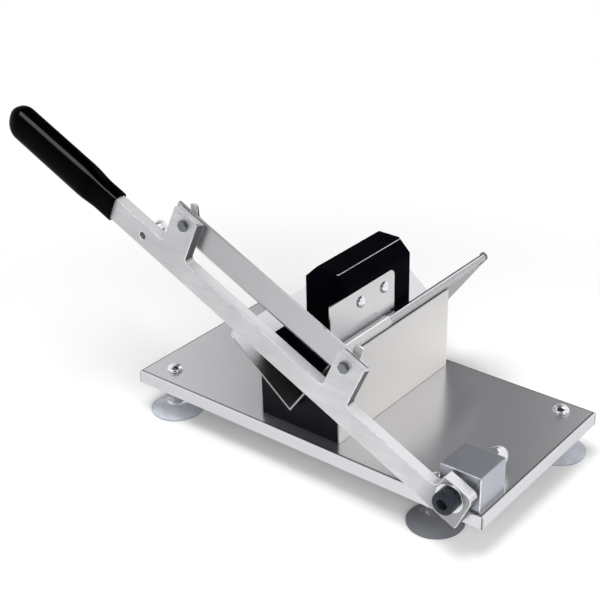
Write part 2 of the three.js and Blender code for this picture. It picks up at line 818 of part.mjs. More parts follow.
function handGrip() {
  const rings = [];
  const tipStart = gripReach - gripTipLength;
  const bodyRings = Math.round(gripRings * 0.6);
  for (let i = 0; i < bodyRings; i += 1) {
    rings.push(gripRing(THREE.MathUtils.lerp(gripStart, tipStart, i / bodyRings)));
  }
  const tipRings = gripRings - bodyRings;
  for (let i = 0; i < tipRings; i += 1) {
    rings.push(gripRing(tipStart + gripTipLength * Math.sin((i / tipRings) * (Math.PI / 2))));
  }
  const pocket = box(
    [-tongueReach - seatGap, -gripStart + cutOver],
    [armFront - seatGap, armRear + seatGap],
    [armBottom - seatGap, handleTop + seatGap],
  );
  return cut(lofted(rings), pocket);
}

function blade() {
  const front = bladeRear - bladeThickness;
  const section = [
    [bladeRear, bladeEdge],
    [bladeRear, bladeTop],
    [front, bladeTop],
    [front, bladeEdge + bladeBevel],
    [bladeRear - bladeEdgeFlat, bladeEdge],
  ];
  const body = crossSlab(section, [-bladeEnd, -bladeStart]);
  const holes = Object.values(bladeScrewPlaces()).map((centre) =>
    round("y", bladeScrewShank + shankGap, [front - cutOver, bladeRear + cutOver], centre, smallFacets),
  );
  return cut(body, ...holes);
}

function bladeScrew(centre) {
  const headRear = armFront - seatGap;
  const tail = bladeRear + seatGap + wingHubHeight;
  const head = hexagonal("y", bladeScrewFlats, [headRear - bladeScrewHeadHeight, headRear], centre);
  return joined(head, round("y", bladeScrewShank, [headRear - cutOver, tail], centre, smallFacets));
}

// A flat winged nut: a thin hub and two square ears in one plane, turned about the screw
function wingNut(centre, turn) {
  const from = bladeRear + seatGap;
  const hub = round("y", wingHub, [from, from + wingHubHeight], centre, smallFacets);
  const [cos, sin] = [Math.cos(turn), Math.sin(turn)];
  const corners = [
    [-wingWidth / 2, -wingSpan],
    [wingWidth / 2, -wingSpan],
    [wingWidth / 2, wingSpan],
    [-wingWidth / 2, wingSpan],
  ].map(([across, along]) => [
    centre[0] + across * cos + along * sin,
    centre[1] - across * sin + along * cos,
    wingCorner,
  ]);
  const ears = slab(corners, [from, from + wingThickness]);
  const through = [from - cutOver, from + wingHubHeight + cutOver];
  const bore = round("y", bladeScrewShank + shankGap, through, centre, smallFacets);
  return cut(joined(hub, ears), bore);
}

function stopBolt() {
  const headFront = armRear + stopSleeveLength + 2 * seatGap;
  const centre = [-stopReach, stopRise];
  const head = hexagonal("y", stopHeadFlats, [headFront, headFront + stopHeadHeight], centre);
  return joined(head, round("y", stopShank, [armFront + stopTipDepth, headFront + cutOver], centre, smallFacets));
}

function stopSleevePiece() {
  const span = [armRear + seatGap, armRear + seatGap + stopSleeveLength];
  const centre = [-stopReach, stopRise];
  const bore = round("y", stopShank + shankGap, [span[0] - cutOver, span[1] + cutOver], centre, smallFacets);
  return cut(round("y", stopSleeve, span, centre), bore);
}

function makeLever() {
  const lever = new THREE.Group();
  addPart(lever, "lever_arm", leverArm(), milledAluminium());
  addPart(lever, "hand_grip", handGrip(), dippedVinyl());
  addPart(lever, "blade", blade(), polishedSteel());
  const turns = { inner: innerWingTurn, outer: outerWingTurn };
  for (const [name, centre] of Object.entries(bladeScrewPlaces())) {
    addPart(lever, `blade_screw_${name}`, bladeScrew(centre), chrome());
    addPart(lever, `wing_nut_${name}`, wingNut(centre, turns[name]), chrome());
  }
  addPart(lever, "stop_bolt", stopBolt(), chrome());
  addPart(lever, "stop_sleeve", stopSleevePiece(), chrome());
  lever.position.set(pivotX, 0, pivotZ);
  lever.rotation.y = restAngle;
  return lever;
}

// Pusher

function guideBush() {
  const span = [tubeFront, tubeFront + tubeLength];
  const bore = round("y", linerInner, [span[0] - cutOver, span[1] + cutOver], [rodX, rodZ]);
  return cut(round("y", linerOuter, span, [rodX, rodZ]), bore);
}

function sideScrewPlaces() {
  const middle = (pusherFront + tubeFront + sidePlateLength) / 2;
  const z = plateHeight + sidePlateTopRise - sideScrewBelowTop;
  return { front: [middle - sideScrewSpacing / 2, z], rear: [middle + sideScrewSpacing / 2, z] };
}

function pusherBracket() {
  const bottom = plateHeight + sidePlateBottomRise;
  const top = plateHeight + sidePlateTopRise;
  const plate = crossSlab(
    [
      [tubeFront, bottom],
      [tubeFront + sidePlateLength, bottom, sidePlateCorner],
      [tubeFront + sidePlateLength, top, sidePlateCorner],
      [tubeFront, top, cornerRadius],
    ],
    [sidePlateOuterX - sidePlateSheet, sidePlateOuterX],
  );
  const span = [tubeFront, tubeFront + tubeLength];
  const tube = round("y", tubeOuter, span, [rodX, rodZ]);
  const bore = round("y", tubeInner, [span[0] - cutOver, span[1] + cutOver], [rodX, rodZ]);
  const across = [sidePlateOuterX - sidePlateSheet - cutOver, sidePlateOuterX + cutOver];
  const holes = Object.values(sideScrewPlaces()).map((centre) =>
    round("x", sideScrewShank + shankGap, across, centre, smallFacets),
  );
  return cut(joined(plate, tube), bore, ...holes);
}

function pusherBlock() {
  const gap = pusherTroughGap;
  const footX = troughBottomX - pusherFootReach * Math.cos(leftWallAngle);
  const foot = [footX, troughHeight(footX, -gap)];
  const shoulderRise = (pusherLeft - footX) * Math.tan(pusherShoulderSlope);
  const top = plateHeight + pusherTopRise;
  const tipHalf = pusherTipFlat / 2;
  const tipZ = Math.max(troughHeight(troughBottomX - tipHalf, -gap), troughHeight(troughBottomX + tipHalf, -gap));
  const section = [
    [troughBottomX - tipHalf, tipZ],
    [troughBottomX + tipHalf, tipZ],
    [pusherRight, troughHeight(pusherRight, -gap)],
    [pusherRight, top - pusherChamfer, pusherEdgeRadius],
    [pusherRight - pusherChamfer, top, pusherEdgeRadius],
    [pusherLeft + pusherChamfer, top, pusherEdgeRadius],
    [pusherLeft, top - pusherChamfer, pusherEdgeRadius],
    [pusherLeft, foot[1] + shoulderRise, pusherEdgeRadius],
    foot,
  ];
  const body = slab(section, [pusherFront, pusherFront + pusherLength]);
  const across = [pusherRight - sideScrewDepth, pusherRight + cutOver];
  const holes = Object.values(sideScrewPlaces()).map((centre) =>
    round("x", sideScrewShank + shankGap, across, centre, smallFacets),
  );
  return cut(body, ...holes);
}

function sideScrew(centre) {
  const seat = sidePlateOuterX + seatGap;
  const profile = [
    [0, pusherRight - sideScrewDepth + cutOver],
    [sideScrewShank, pusherRight - sideScrewDepth + cutOver],
    [sideScrewShank, seat],
    ...domeProfile(sideScrewHead, seat, seat + sideScrewHeadHeight),
  ];
  return turned("x", profile, centre, smallFacets);
}

function addPusher(group) {
  addPart(group, "guide_bush", guideBush(), naturalNylon());
  addPart(group, "pusher_bracket", pusherBracket(), brushedSteel());
  addPart(group, "pusher_block", pusherBlock(), blackPlastic());
  for (const [name, centre] of Object.entries(sideScrewPlaces())) {
    addPart(group, `bracket_screw_${name}`, sideScrew(centre), chrome());
  }
}

// The whole slicer, moved so that the origin is its box's bottom centre

function makeSlicer() {
  const slicer = new THREE.Group();
  addPart(slicer, "base_plate", basePlate(), brushedSteel());
  addFeet(slicer);
  addHousing(slicer);
  addPivot(slicer);
  addPusher(slicer);
  slicer.add(makeLever());
  slicer.updateMatrixWorld(true);
  const extent = new THREE.Box3().setFromObject(slicer, true);
  const middle = extent.getCenter(new THREE.Vector3());
  slicer.position.set(-middle.x, -middle.y, -extent.min.z);
  return slicer;
}

export default makeSlicer();
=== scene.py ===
"""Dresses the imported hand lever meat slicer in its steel, plastic and vinyl, and sets its studio."""

import json
import math
from functools import cache

import bmesh
import bpy
import numpy as np
from mathutils import Matrix, Vector


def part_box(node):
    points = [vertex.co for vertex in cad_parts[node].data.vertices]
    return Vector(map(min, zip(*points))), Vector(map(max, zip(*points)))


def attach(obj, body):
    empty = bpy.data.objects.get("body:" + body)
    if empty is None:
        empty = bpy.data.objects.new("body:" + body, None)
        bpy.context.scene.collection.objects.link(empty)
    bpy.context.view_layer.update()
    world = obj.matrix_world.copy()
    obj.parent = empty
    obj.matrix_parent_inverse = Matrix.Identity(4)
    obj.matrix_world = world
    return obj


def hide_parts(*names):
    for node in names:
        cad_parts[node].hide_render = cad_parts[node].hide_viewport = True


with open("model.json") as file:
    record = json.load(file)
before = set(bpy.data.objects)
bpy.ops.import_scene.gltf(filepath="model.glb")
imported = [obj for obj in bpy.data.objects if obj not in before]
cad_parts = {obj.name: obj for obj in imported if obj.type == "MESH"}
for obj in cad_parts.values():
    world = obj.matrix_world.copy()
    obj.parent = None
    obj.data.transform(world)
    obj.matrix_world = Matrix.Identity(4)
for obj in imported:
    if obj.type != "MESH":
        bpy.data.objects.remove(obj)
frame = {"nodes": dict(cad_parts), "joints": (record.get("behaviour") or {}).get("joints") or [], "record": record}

bl_info = {
    "name": "Hand Lever Meat Slicer",
    "version": (1, 0, 0),
    "blender": (4, 5, 0),
    "location": "3D View > Sidebar > Slicer",
    "description": "Dresses the packed meat slicer and sets its studio",
    "category": "Object",
}

MM = 0.001
PHOTO_SIDE = 600
LEVER_TILT = math.radians(25)
SHARP_FROM = math.radians(32)
BEVEL_FROM = math.radians(28)
FLAT_WITHIN = math.radians(0.4)
BODY_OF = {node: body for body, nodes in frame["record"]["behaviour"]["bodies"].items() for node in nodes}
FEET = ("front_left", "back_left", "back_right", "front_right")


# Sizes and colours that a user would change


def number(name, description, default, low=0.0, high=1e4, **kind):
    return bpy.props.FloatProperty(
        name=name, description=description, default=default, min=low, max=high, **kind,
    )


def length(name, description, default, low=0.0, high=500.0):
    kind = {"subtype": "DISTANCE", "unit": "LENGTH", "precision": 5}
    return number(name, description, default * MM, low * MM, high * MM, **kind)


def angle(name, description, degrees):
    kind = {"subtype": "ANGLE", "unit": "ROTATION"}
    return number(name, description, math.radians(degrees), -math.pi, math.pi, **kind)


def power(name, description, watts):
    return number(name, description, watts, unit="POWER")


def colour(name, description, default):
    return bpy.props.FloatVectorProperty(
        name=name, description=description, default=default, size=3, min=0, max=1, subtype="COLOR",
    )


class SlicerShapes(bpy.types.PropertyGroup):
    """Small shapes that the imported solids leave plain."""

    edge_round: length("Machined edge", "Width of the broken edges on machined metal", 0.5)
    sheet_round: length("Sheet edge", "Width of the broken edges on sheet metal", 0.2)
    screw_round: length("Screw edge", "Width of the broken edges on hexagonal screws and nuts", 0.3)
    bracket_round: length("Bracket edge", "Width of the broken edges on the pusher bracket", 0.15)
    cheek_round: length("Cheek edge", "Width of the broken edges on the black cheeks", 0.4)
    moulded_round: length("Moulded edge", "Width of the rounded edges on the pusher block", 0.7)
    thread_pitch: length("Foot thread pitch", "Pitch of the thread on the foot screws", 1.25)
    thread_depth: length("Foot thread depth", "Depth of that thread", 0.55)
    knurl_depth: length("Knurl depth", "Depth of the knurl on the pivot bolt's head", 0.16)
    knurl_count: bpy.props.IntProperty(
        name="Knurl teeth", description="Teeth round the pivot bolt's head", default=40, min=8, max=120)
    grip_start: length("Grip start", "From the pivot to the grip's open end", 350)
    grip_end: length("Grip end", "From the pivot to the grip's closed end", 478)
    grip_neck: length("Grip neck", "Length of the grip's straight neck", 16)
    grip_swell: length("Grip swell", "Where the grip reaches its full size", 40)
    grip_tip: length("Grip tip", "Length of the grip's rounded tip", 15)


class SlicerFinishes(bpy.types.PropertyGroup):
    """Colours of the finishes, as linear values."""

    plate: colour("Plate steel", "Brushed base plate", (0.72, 0.715, 0.745))
    panel: colour("Panel steel", "Housing side panels", (0.79, 0.775, 0.765))
    trough: colour("Trough steel", "Polished trough", (0.74, 0.74, 0.76))
    bracket: colour("Bracket steel", "Pusher bracket and tube", (0.60, 0.60, 0.61))
    blade: colour("Blade steel", "Ground blade", (0.45, 0.45, 0.465))
    arm: colour("Milled aluminium", "Lever arm", (0.49, 0.49, 0.505))
    block: colour("Block aluminium", "Pivot block", (0.37, 0.385, 0.425))
    chrome: colour("Chrome", "Screws, nuts and washers", (0.80, 0.81, 0.83))
    # Painted shade: a darker copy of the plating for the nuts and studs under the plate and the blade screws.
    shaded_plating: colour("Shaded plating", "Blade screws, and studs and nuts below the plate", (0.17, 0.18, 0.20))
    rod: colour("Ground rod", "Guide rod", (0.46, 0.465, 0.48))
    oxide: colour("Black oxide", "Pivot bolt", (0.010, 0.012, 0.017))
    plastic: colour("Black plastic", "Cheeks and pusher block", (0.0022, 0.0026, 0.005))
    grip: colour("Dipped grip", "Hand grip", (0.0001, 0.0001, 0.00015))
    vinyl: colour("Clear vinyl", "Suction cups", (0.80, 0.82, 0.865))
    liner: colour("Natural nylon", "Liner in the pusher's tube", (0.76, 0.73, 0.64))


class SlicerStage(bpy.types.PropertyGroup):
    """Floor, lamps, background and camera."""

    azimuth: angle("Azimuth", "Camera's turn from the front", 38.303)
    elevation: angle("Elevation", "Camera's height above the horizon", 27.518)
    roll: angle("Roll", "Camera's roll", -0.852)
    distance: length("Distance", "From the camera to the point it looks at", 1227.528, high=5000)
    aim_x: length("Aim X", "Point the camera looks at", -67.695, low=-500)
    aim_y: length("Aim Y", "Point the camera looks at", 103.367, low=-500)
    aim_z: length("Aim Z", "Point the camera looks at", 38, low=-500)
    focal_pixels: number("Focal length", "Focal length, in the photo's pixels", 1309.245, subtype="PIXEL")
    centre_x: number("Centre X", "Principal point across, in pixels", 323.312, subtype="PIXEL")
    centre_y: number("Centre Y", "Principal point down, in pixels", 295.576, subtype="PIXEL")
    world_level: number("Sky level", "Plain light from all sides", 0.30)
    key_power: power("Key lamp", "Power of the soft lamp overhead", 25.0)
    fill_power: power("Fill lamp", "Power of the soft lamp at the right", 14.0)
    front_power: power("Front lamp", "Power of the soft lamp at the front right", 5.2)
    grip_power: power("Grip lamp", "Power of the narrow lamp on the grip", 200.0)
    floor_level: number("Floor", "Albedo of the pale floor", 0.86, subtype="FACTOR")
    floor_seen: number("Floor seen", "Floor's colour to the camera", 1.02)
    floor_gloss: number("Floor in gloss", "Floor's colour in reflections", 1.05)


def shapes():
    return bpy.context.scene.slicer_shapes


def finishes():
    return bpy.context.scene.slicer_finishes


def stage_settings():
    return bpy.context.scene.slicer_stage


# Surfaces


def skin(name, grid, closed=False):
    """A mesh from a (rows, columns, 3) grid of points whose columns go round.
    Point (i, j) joins (i, j+1), (i+1, j+1) and (i+1, j). A row whose points coincide becomes one
    point, and its neighbours triangles. With closed, the last row joins the first."""
    rows, columns = grid.shape[:2]
    pole = np.ptp(grid, axis=1).max(1) < 1e-9
    counts = np.where(pole, 1, columns)
    starts = np.concatenate([[0], np.cumsum(counts)])
    index = starts[:-1, None] + np.where(pole[:, None], 0, np.arange(columns)[None, :])
    points = np.concatenate([grid[i, :1] if pole[i] else grid[i] for i in range(rows)])
    here = index if closed else index[:-1]
    ahead = np.roll(index, -1, 0) if closed else index[1:]
    quads = np.stack([here, np.roll(here, -1, 1), np.roll(ahead, -1, 1), ahead], -1).reshape(-1, 4)
    at_start, at_end = quads[:, 0] == quads[:, 1], quads[:, 2] == quads[:, 3]
    opening = quads[at_start & ~at_end][:, [0, 2, 3]]
    closing = quads[at_end & ~at_start][:, [0, 1, 2]]
    return put_mesh(name, points, quads[~(at_start | at_end)], np.concatenate([opening, closing]))


def put_mesh(name, points, quads, fans):
    """An object at the origin from points, four-cornered faces and triangles, turned outwards.
    The volume is the sum of a . (b x c) / 6 over the triangles; if it is negative, faces are reversed."""
    halves = np.concatenate([quads[:, [0, 1, 2]], quads[:, [0, 2, 3]], fans])
    a, b, c = points[halves[:, 0]], points[halves[:, 1]], points[halves[:, 2]]
    if np.einsum("ij,ij->i", a, np.cross(b, c)).sum() < 0:
        quads, fans = quads[:, ::-1], fans[:, ::-1]
    mesh = bpy.data.meshes.new(name)
    mesh.vertices.add(len(points))
    mesh.vertices.foreach_set("co", points.astype(np.float32).ravel())
    corners = np.concatenate([quads.ravel(), fans.ravel()]).astype(np.int32)
    mesh.loops.add(len(corners))
    mesh.loops.foreach_set("vertex_index", corners)
    mesh.polygons.add(len(quads) + len(fans))
    starts = np.concatenate([np.arange(len(quads)) * 4, len(quads) * 4 + np.arange(len(fans)) * 3])
    mesh.polygons.foreach_set("loop_start", starts.astype(np.int32))
    mesh.update(calc_edges=True)
    mesh.validate()
    mesh.shade_smooth()
    mesh.set_sharp_from_angle(angle=SHARP_FROM)
    return placed(name, mesh)


def placed(name, data):
    """A new object in the scene's collection."""
    piece = bpy.data.objects.new(name, data)
    bpy.context.scene.collection.objects.link(piece)
    return piece


def once_round(columns):
    """Evenly spaced angles that go once round."""
    return np.linspace(0, 2 * np.pi, columns, endpoint=False)


def around(axis, radii, stations, centre):
    """Grid of a surface about an axis: at row i and column j, the point (r cos t, r sin t) across the
    axis and the station along it, where t goes once round the columns and r = radii[i, j]."""
    radii = np.asarray(radii, float)
    stations = np.broadcast_to(np.asarray(stations, float).reshape(len(radii), -1), radii.shape)
    turn = once_round(radii.shape[1])
    across = np.stack([radii * np.cos(turn), radii * np.sin(turn)], -1) + np.asarray(centre)
    parts = {"x": (stations, across[..., 0], across[..., 1]),
             "y": (across[..., 1], stations, across[..., 0]),
             "z": (across[..., 0], across[..., 1], stations)}[axis]
    return np.stack(parts, -1)


def centre_of(node, axis):
    """Centre of a node's box across an axis, in the order that around() takes, and its span along it."""
    low, high = (np.array(corner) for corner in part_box(node))
    middle = (low + high) / 2
    along = "xyz".index(axis)
    order = {"x": (1, 2), "y": (2, 0), "z": (0, 1)}[axis]
    return middle[list(order)], low[along], high[along]


def turned(axis, profile, centre, facets=64):
    """Grid of a profile of (radius, station) points turned about an axis: r is the same at every turn."""
    profile = np.asarray(profile, float)
    return around(axis, circle_rows(profile[:, 0], facets), profile[:, 1], centre)


def rod_profile(inner, outer, low, high, chamfer):
    """Profile of a rod or tube: flat ends, and an outside whose edges are turned off."""
    return [[inner, low], [outer - chamfer, low], [outer, low + chamfer], [outer, high - chamfer],
            [outer - chamfer, high], [inner, high]]


def dome(radius, start, end, steps=14):
    """Quarter ellipse: radius cos t and start + (end - start) sin t for t from 0 to a quarter turn."""
    t = np.linspace(0, np.pi / 2, steps)
    points = np.stack([radius * np.cos(t), start + (end - start) * np.sin(t)], -1)
    points[-1, 0] = 0
    return points


def flats(turn, apothem):
    """Radius of a hexagon at an angle: apothem over the cosine of the angle from the nearest flat."""
    sixth = np.pi / 3
    return apothem / np.cos((turn + sixth / 2) % sixth - sixth / 2)


def chamfered_hex(apothem, low, high, turn):
    """Rows of a hexagonal side whose corners are turned off: the lesser of the hexagon's radius and a
    cone that starts 0.97 apothem wide at each end and widens by 1 / 0.55 along the axis. The rows
    lie closer towards the ends, as the cosine of even steps."""
    ease = (1 - np.cos(np.linspace(0, np.pi, 9))) / 2
    stations = low + (high - low) * ease
    cone = apothem * 0.97 + np.minimum(stations - low, high - stations) / 0.55
    return np.minimum(flats(turn, apothem)[None, :], cone[:, None]), stations


def circle_rows(radii, columns):
    """Rows of a surface that is round at every station: each row repeats its radius."""
    return np.repeat(np.asarray(radii, float)[:, None], columns, 1)


def edged(node, width, finish, segments=2, edge=None):
    """A merged copy of a CAD node, its flat triangles joined, with a rounded bevel on sharp edges.
    The bevel may have a finish of its own."""
    mesh = frame["nodes"][node].data.copy()
    work = bmesh.new()
    work.from_mesh(mesh)
    bmesh.ops.remove_doubles(work, verts=work.verts, dist=1e-6)
    bmesh.ops.dissolve_limit(work, angle_limit=FLAT_WITHIN, verts=work.verts, edges=work.edges)
    work.to_mesh(mesh)
    work.free()
    mesh.materials.clear()
    mesh.shade_smooth()
    mesh.name = f"{node}_edged"
    piece = placed(mesh.name, mesh)
    bevel = piece.modifiers.new("Broken edges", "BEVEL")
    bevel.width = width
    bevel.segments = segments
    bevel.limit_method = "ANGLE"
    bevel.angle_limit = BEVEL_FROM
    bevel.use_clamp_overlap = False
    bevel.miter_outer = "MITER_ARC"
    even = piece.modifiers.new("Even shading", "WEIGHTED_NORMAL")
    even.keep_sharp = True
    stand_for(piece, finish, node)
    if edge:
        mesh.materials.append(edge.material)
        bevel.material = 1


def formed(node, suffix, grid, finish, closed=False):
    """Makes the piece that stands for a node from a grid of points."""
    stand_for(skin(f"{node}_{suffix}", grid, closed), finish, node)


def stand_for(piece, finish, *nodes):
    """Gives a piece its finish, lets it ride on its nodes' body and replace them."""
    piece.data.materials.append(finish.material)
    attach(piece, BODY_OF[nodes[0]])
    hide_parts(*nodes)


def dress(node, finish):
    """Puts a finish on a CAD node whose shape stays."""
    materials = frame["nodes"][node].data.materials
    materials.clear()
    materials.append(finish.material)


# Finishes


class Wiring:
    """Adds nodes to a node tree. An input may be given a value or another node's socket."""

    def __init__(self, tree):
        self.nodes, self.links = tree.nodes, tree.links

    def wire(self, source, target):
        self.links.new(source, target)

    def node(self, kind, inputs=(), **settings):
        """A new node with its settings, and its inputs fed by name or number."""
        node = self.nodes.new("ShaderNode" + kind)
        for name, value in settings.items():
            setattr(node, name, value)
        for socket, value in dict(inputs).items():
            if isinstance(value, bpy.types.NodeSocket):
                self.wire(value, node.inputs[socket])
            else:
                node.inputs[socket].default_value = value
        return node

    def between(self, factor, low, high, new_low=0, new_high=1, kind="LINEAR"):
        """Map of a factor from one range to another, held at its ends."""
        inputs = {"Value": factor, "From Min": low, "From Max": high, "To Min": new_low, "To Max": new_high}
        return self.node("MapRange", inputs, interpolation_type=kind).outputs["Result"]

    def mixed(self, factor, *colours):
        """Colour between two colours."""
        first, second = (c if isinstance(c, bpy.types.NodeSocket) else (*c, 1) for c in colours)
        return self.node("Mix", {"Factor": factor, 6: first, 7: second}, data_type="RGBA").outputs[2]

    def math(self, operation, first, second=0):
        return self.node("Math", {0: first, 1: second}, operation=operation).outputs[0]

    def vector_math(self, operation, first, second=(0, 0, 0)):
        return self.node("VectorMath", {0: first, 1: tuple(second)}, operation=operation).outputs

    def seen_directly(self):
        """1 for camera, gloss and transmission rays, and 0 for the rays that light matt surfaces."""
        path = self.node("LightPath").outputs
        seen = self.math("MAXIMUM", path["Is Camera Ray"], path["Is Glossy Ray"])
        return self.math("MAXIMUM", seen, path["Is Transmission Ray"])

    def either(self, factor, first, second, output):
        """Sends a mix of two shaders to an output."""
        node = self.node("MixShader", {0: factor, 1: first.outputs[0], 2: second.outputs[0]})
        self.wire(node.outputs[0], self.nodes[output].inputs["Surface"])


class Finish(Wiring):
    """Builds one material round a tone, a roughness and a share of metal."""

    def __init__(self, name, tone, roughness, metallic=0.0):
        self.tone = tuple(tone)
        self.material = bpy.data.materials.new(name)
        self.material.use_nodes = True
        super().__init__(self.material.node_tree)
        self.shader = self.nodes["Principled BSDF"]
        self.set("Base Color", (*self.tone, 1))
        self.set("Roughness", roughness)
        self.set("Metallic", metallic)
        self.place = self.node("TexCoord").outputs["Object"]

    def set(self, socket, value):
        self.shader.inputs[socket].default_value = value

    def stretched(self, scale, turn=(0, 0, 0)):
        """Object coordinates turned and stretched per axis, in patterns per metre."""
        inputs = {"Vector": self.place, "Rotation": turn, "Scale": scale}
        return self.node("Mapping", inputs).outputs["Vector"]

    def noise(self, vector=None, scale=1.0, detail=3, roughness=0.6):
        place = self.place if vector is None else vector
        inputs = {"Vector": place, "Scale": scale, "Detail": detail, "Roughness": roughness}
        return self.node("TexNoise", inputs).outputs["Fac"]

    def part(self, axis):
        """One coordinate of the place on the object, in metres."""
        return self.node("SeparateXYZ", {0: self.place}).outputs[axis]

    def dot(self, vector, direction):
        return self.vector_math("DOT_PRODUCT", vector, direction)["Value"]

    def facing(self, direction):
        """How far the surface faces a direction of the piece: its normal times that direction."""
        return self.dot(self.node("TexCoord").outputs["Normal"], direction)

    def band(self, value, low, high, soft):
        """1 between two values and 0 outside, with soft flanks."""
        rise = self.between(value, low - soft, low + soft)
        return self.math("MULTIPLY", rise, self.between(value, high - soft, high + soft, 1, 0))

    def inset(self, node, axis):
        """How far the place lies inside a node's box along one axis, from its nearer side."""
        low, high = (corner["xyz".index(axis)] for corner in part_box(node))
        off = self.math("ABSOLUTE", self.math("SUBTRACT", self.part(axis.upper()), (low + high) / 2))
        return self.math("SUBTRACT", (high - low) / 2, off)

    def drawn_along(self, direction, amount):
        """Stretches gloss square to brush lines that run in a direction: the tangent is the surface's
        normal crossed with it."""
        normal = self.node("NewGeometry").outputs["Normal"]
        self.wire(self.vector_math("CROSS_PRODUCT", normal, direction)[0], self.shader.inputs["Tangent"])
        self.set("Anisotropic", amount)

    def bump(self, height, distance, strength):
        node = self.node("Bump", {"Strength": strength, "Distance": distance, "Height": height})
        self.wire(node.outputs["Normal"], self.shader.inputs["Normal"])

    def base(self, shade):
        self.shade = shade
        self.wire(shade, self.shader.inputs["Base Color"])

    def mottle(self, noise, low, high, dark, light):
        """Makes the shade the tone times a factor from dark to light, as a noise runs from low to high."""
        first, second = lighter(self.tone, dark), lighter(self.tone, light)
        self.base(self.mixed(self.between(noise, low, high), first, second))

    def tint(self, mask, by):
        """Turns the shade to the tone times a factor where a mask is 1."""
        self.base(self.mixed(mask, self.shade, lighter(self.tone, by)))

    def rough(self, noise, smooth, dull, edge=0.3):
        self.wire(self.between(noise, edge, 1 - edge, smooth, dull), self.shader.inputs["Roughness"])


def plate_top():
    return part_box("base_plate")[1].z


def lighter(tone, by):
    return tuple(min(1.0, channel * by) for channel in tone)


def speckled(name, tone, roughness, metallic, scale, shades, gloss, detail=3):
    """An even surface. One noise mottles its tone, and runs its roughness from smooth to dull."""
    finish = Finish(name, tone, roughness, metallic)
    finish.specks = finish.noise(scale=scale, detail=detail)
    finish.mottle(finish.specks, *shades)
    finish.rough(finish.specks, *gloss)
    return finish


def brushed(name, tone, roughness, along, spread, relief, metallic=1.0, fine=1500, coarse=260):
    """Sheet steel with brush lines along one axis: two noises stretched along it for colour,
    roughness and bump, and a slow cloud for handling marks."""
    finish = Finish(name, tone, roughness, metallic)
    slow = 0.02
    scales = [[across * slow if axis == along else across for axis in "xyz"] for across in (fine, coarse)]
    lines, bands = (finish.noise(finish.stretched(scale), detail=2) for scale in scales)
    grain = finish.math("ADD", finish.math("MULTIPLY", lines, 0.6), finish.math("MULTIPLY", bands, 0.4))
    cloud = finish.noise(scale=9, detail=4)
    finish.mottle(grain, 0.3, 0.7, 1 - spread, 1 + spread)
    finish.tint(finish.between(cloud, 0.35, 0.65, 0, 0.5), 1 + spread / 2)
    finish.rough(grain, roughness - 0.1 * relief, roughness + 0.14 * relief, 0.25)
    finish.bump(grain, 0.00002, relief)
    return finish


def sheared(finish, node):
    """Darkens the cut edges at a sheet's front and rear: within some 0.13 mm of its box's ends."""
    cut = finish.between(finish.inset(node, "y"), 0.1 * MM, 0.16 * MM, 1, 0)
    finish.tint(cut, 0.42)
    return finish


@cache
def plate_steel():
    """Brushed sheet with painted shade on the lip and underside, a painted dark reflection on the bend
    where it meets the top, and dark seams at the lip's corners."""
    finish = brushed("plate steel", finishes().plate, 0.22, "x", 0.05, 0.3, metallic=0.95)
    finish.drawn_along((1, 0.02, 0), 0.8)
    across, deep = finish.inset("base_plate", "x"), finish.inset("base_plate", "y")
    # Painted reflection: a dark line on the top where it runs into the rounded edge.
    bend = finish.band(finish.math("MINIMUM", across, deep), 0.9 * MM, 2.1 * MM, 0.3 * MM)
    seam = finish.between(finish.math("MAXIMUM", across, deep), 0.5 * MM, 0.8 * MM, 1, 0)
    # Painted shade: the lip and the underside, below the top's rounded edge, at 0.76 of the tone.
    lip = finish.between(finish.part("Z"), plate_top() - 1.6 * MM, plate_top() - 0.6 * MM, 1, 0)
    finish.tint(lip, 0.76)
    finish.tint(finish.math("MULTIPLY", bend, 0.9), 0.12)
    finish.tint(seam, 0.12)
    return finish


@cache
def panel_steel():
    """Satin sheet with painted shade: darker towards the top, and lighter and warmer towards the plate."""
    finish = brushed("panel steel", finishes().panel, 0.4, "z", 0.02, 0.2, metallic=0.2, fine=1800)
    red, green, blue = finish.tone
    # Painted shade: 1 near the plate, where the colour is warmer, and 0 higher up, where it is 0.7 of the tone.
    warmth = finish.between(finish.part("Z"), plate_top() + 12 * MM, plate_top() + 72 * MM, 1, 0)
    height = finish.mixed(warmth, lighter(finish.tone, 0.7), (red * 1.05, green * 1.04, blue * 0.99))
    finish.base(finish.mixed(0.75, finish.shade, height))
    return sheared(finish, "right_panel")


@cache
def trough_steel():
    """Polished inside, with painted shade underneath: darker where the sheet faces down."""
    finish = brushed("trough steel", finishes().trough, 0.33, "y", 0.01, 0.02, fine=900)
    # Painted shade on faces that look down.
    finish.tint(finish.between(finish.facing((0, 0, -1)), 0.1, 0.25), 0.22)
    return sheared(finish, "meat_trough")


@cache
def bracket_steel():
    return brushed("bracket steel", finishes().bracket, 0.26, "y", 0.03, 0.15, fine=2200)


@cache
def blade_steel():
    """Ground steel: fine lines square to the edge."""
    return brushed("blade steel", finishes().blade, 0.3, "z", 0.015, 0.12, fine=3600, coarse=900)


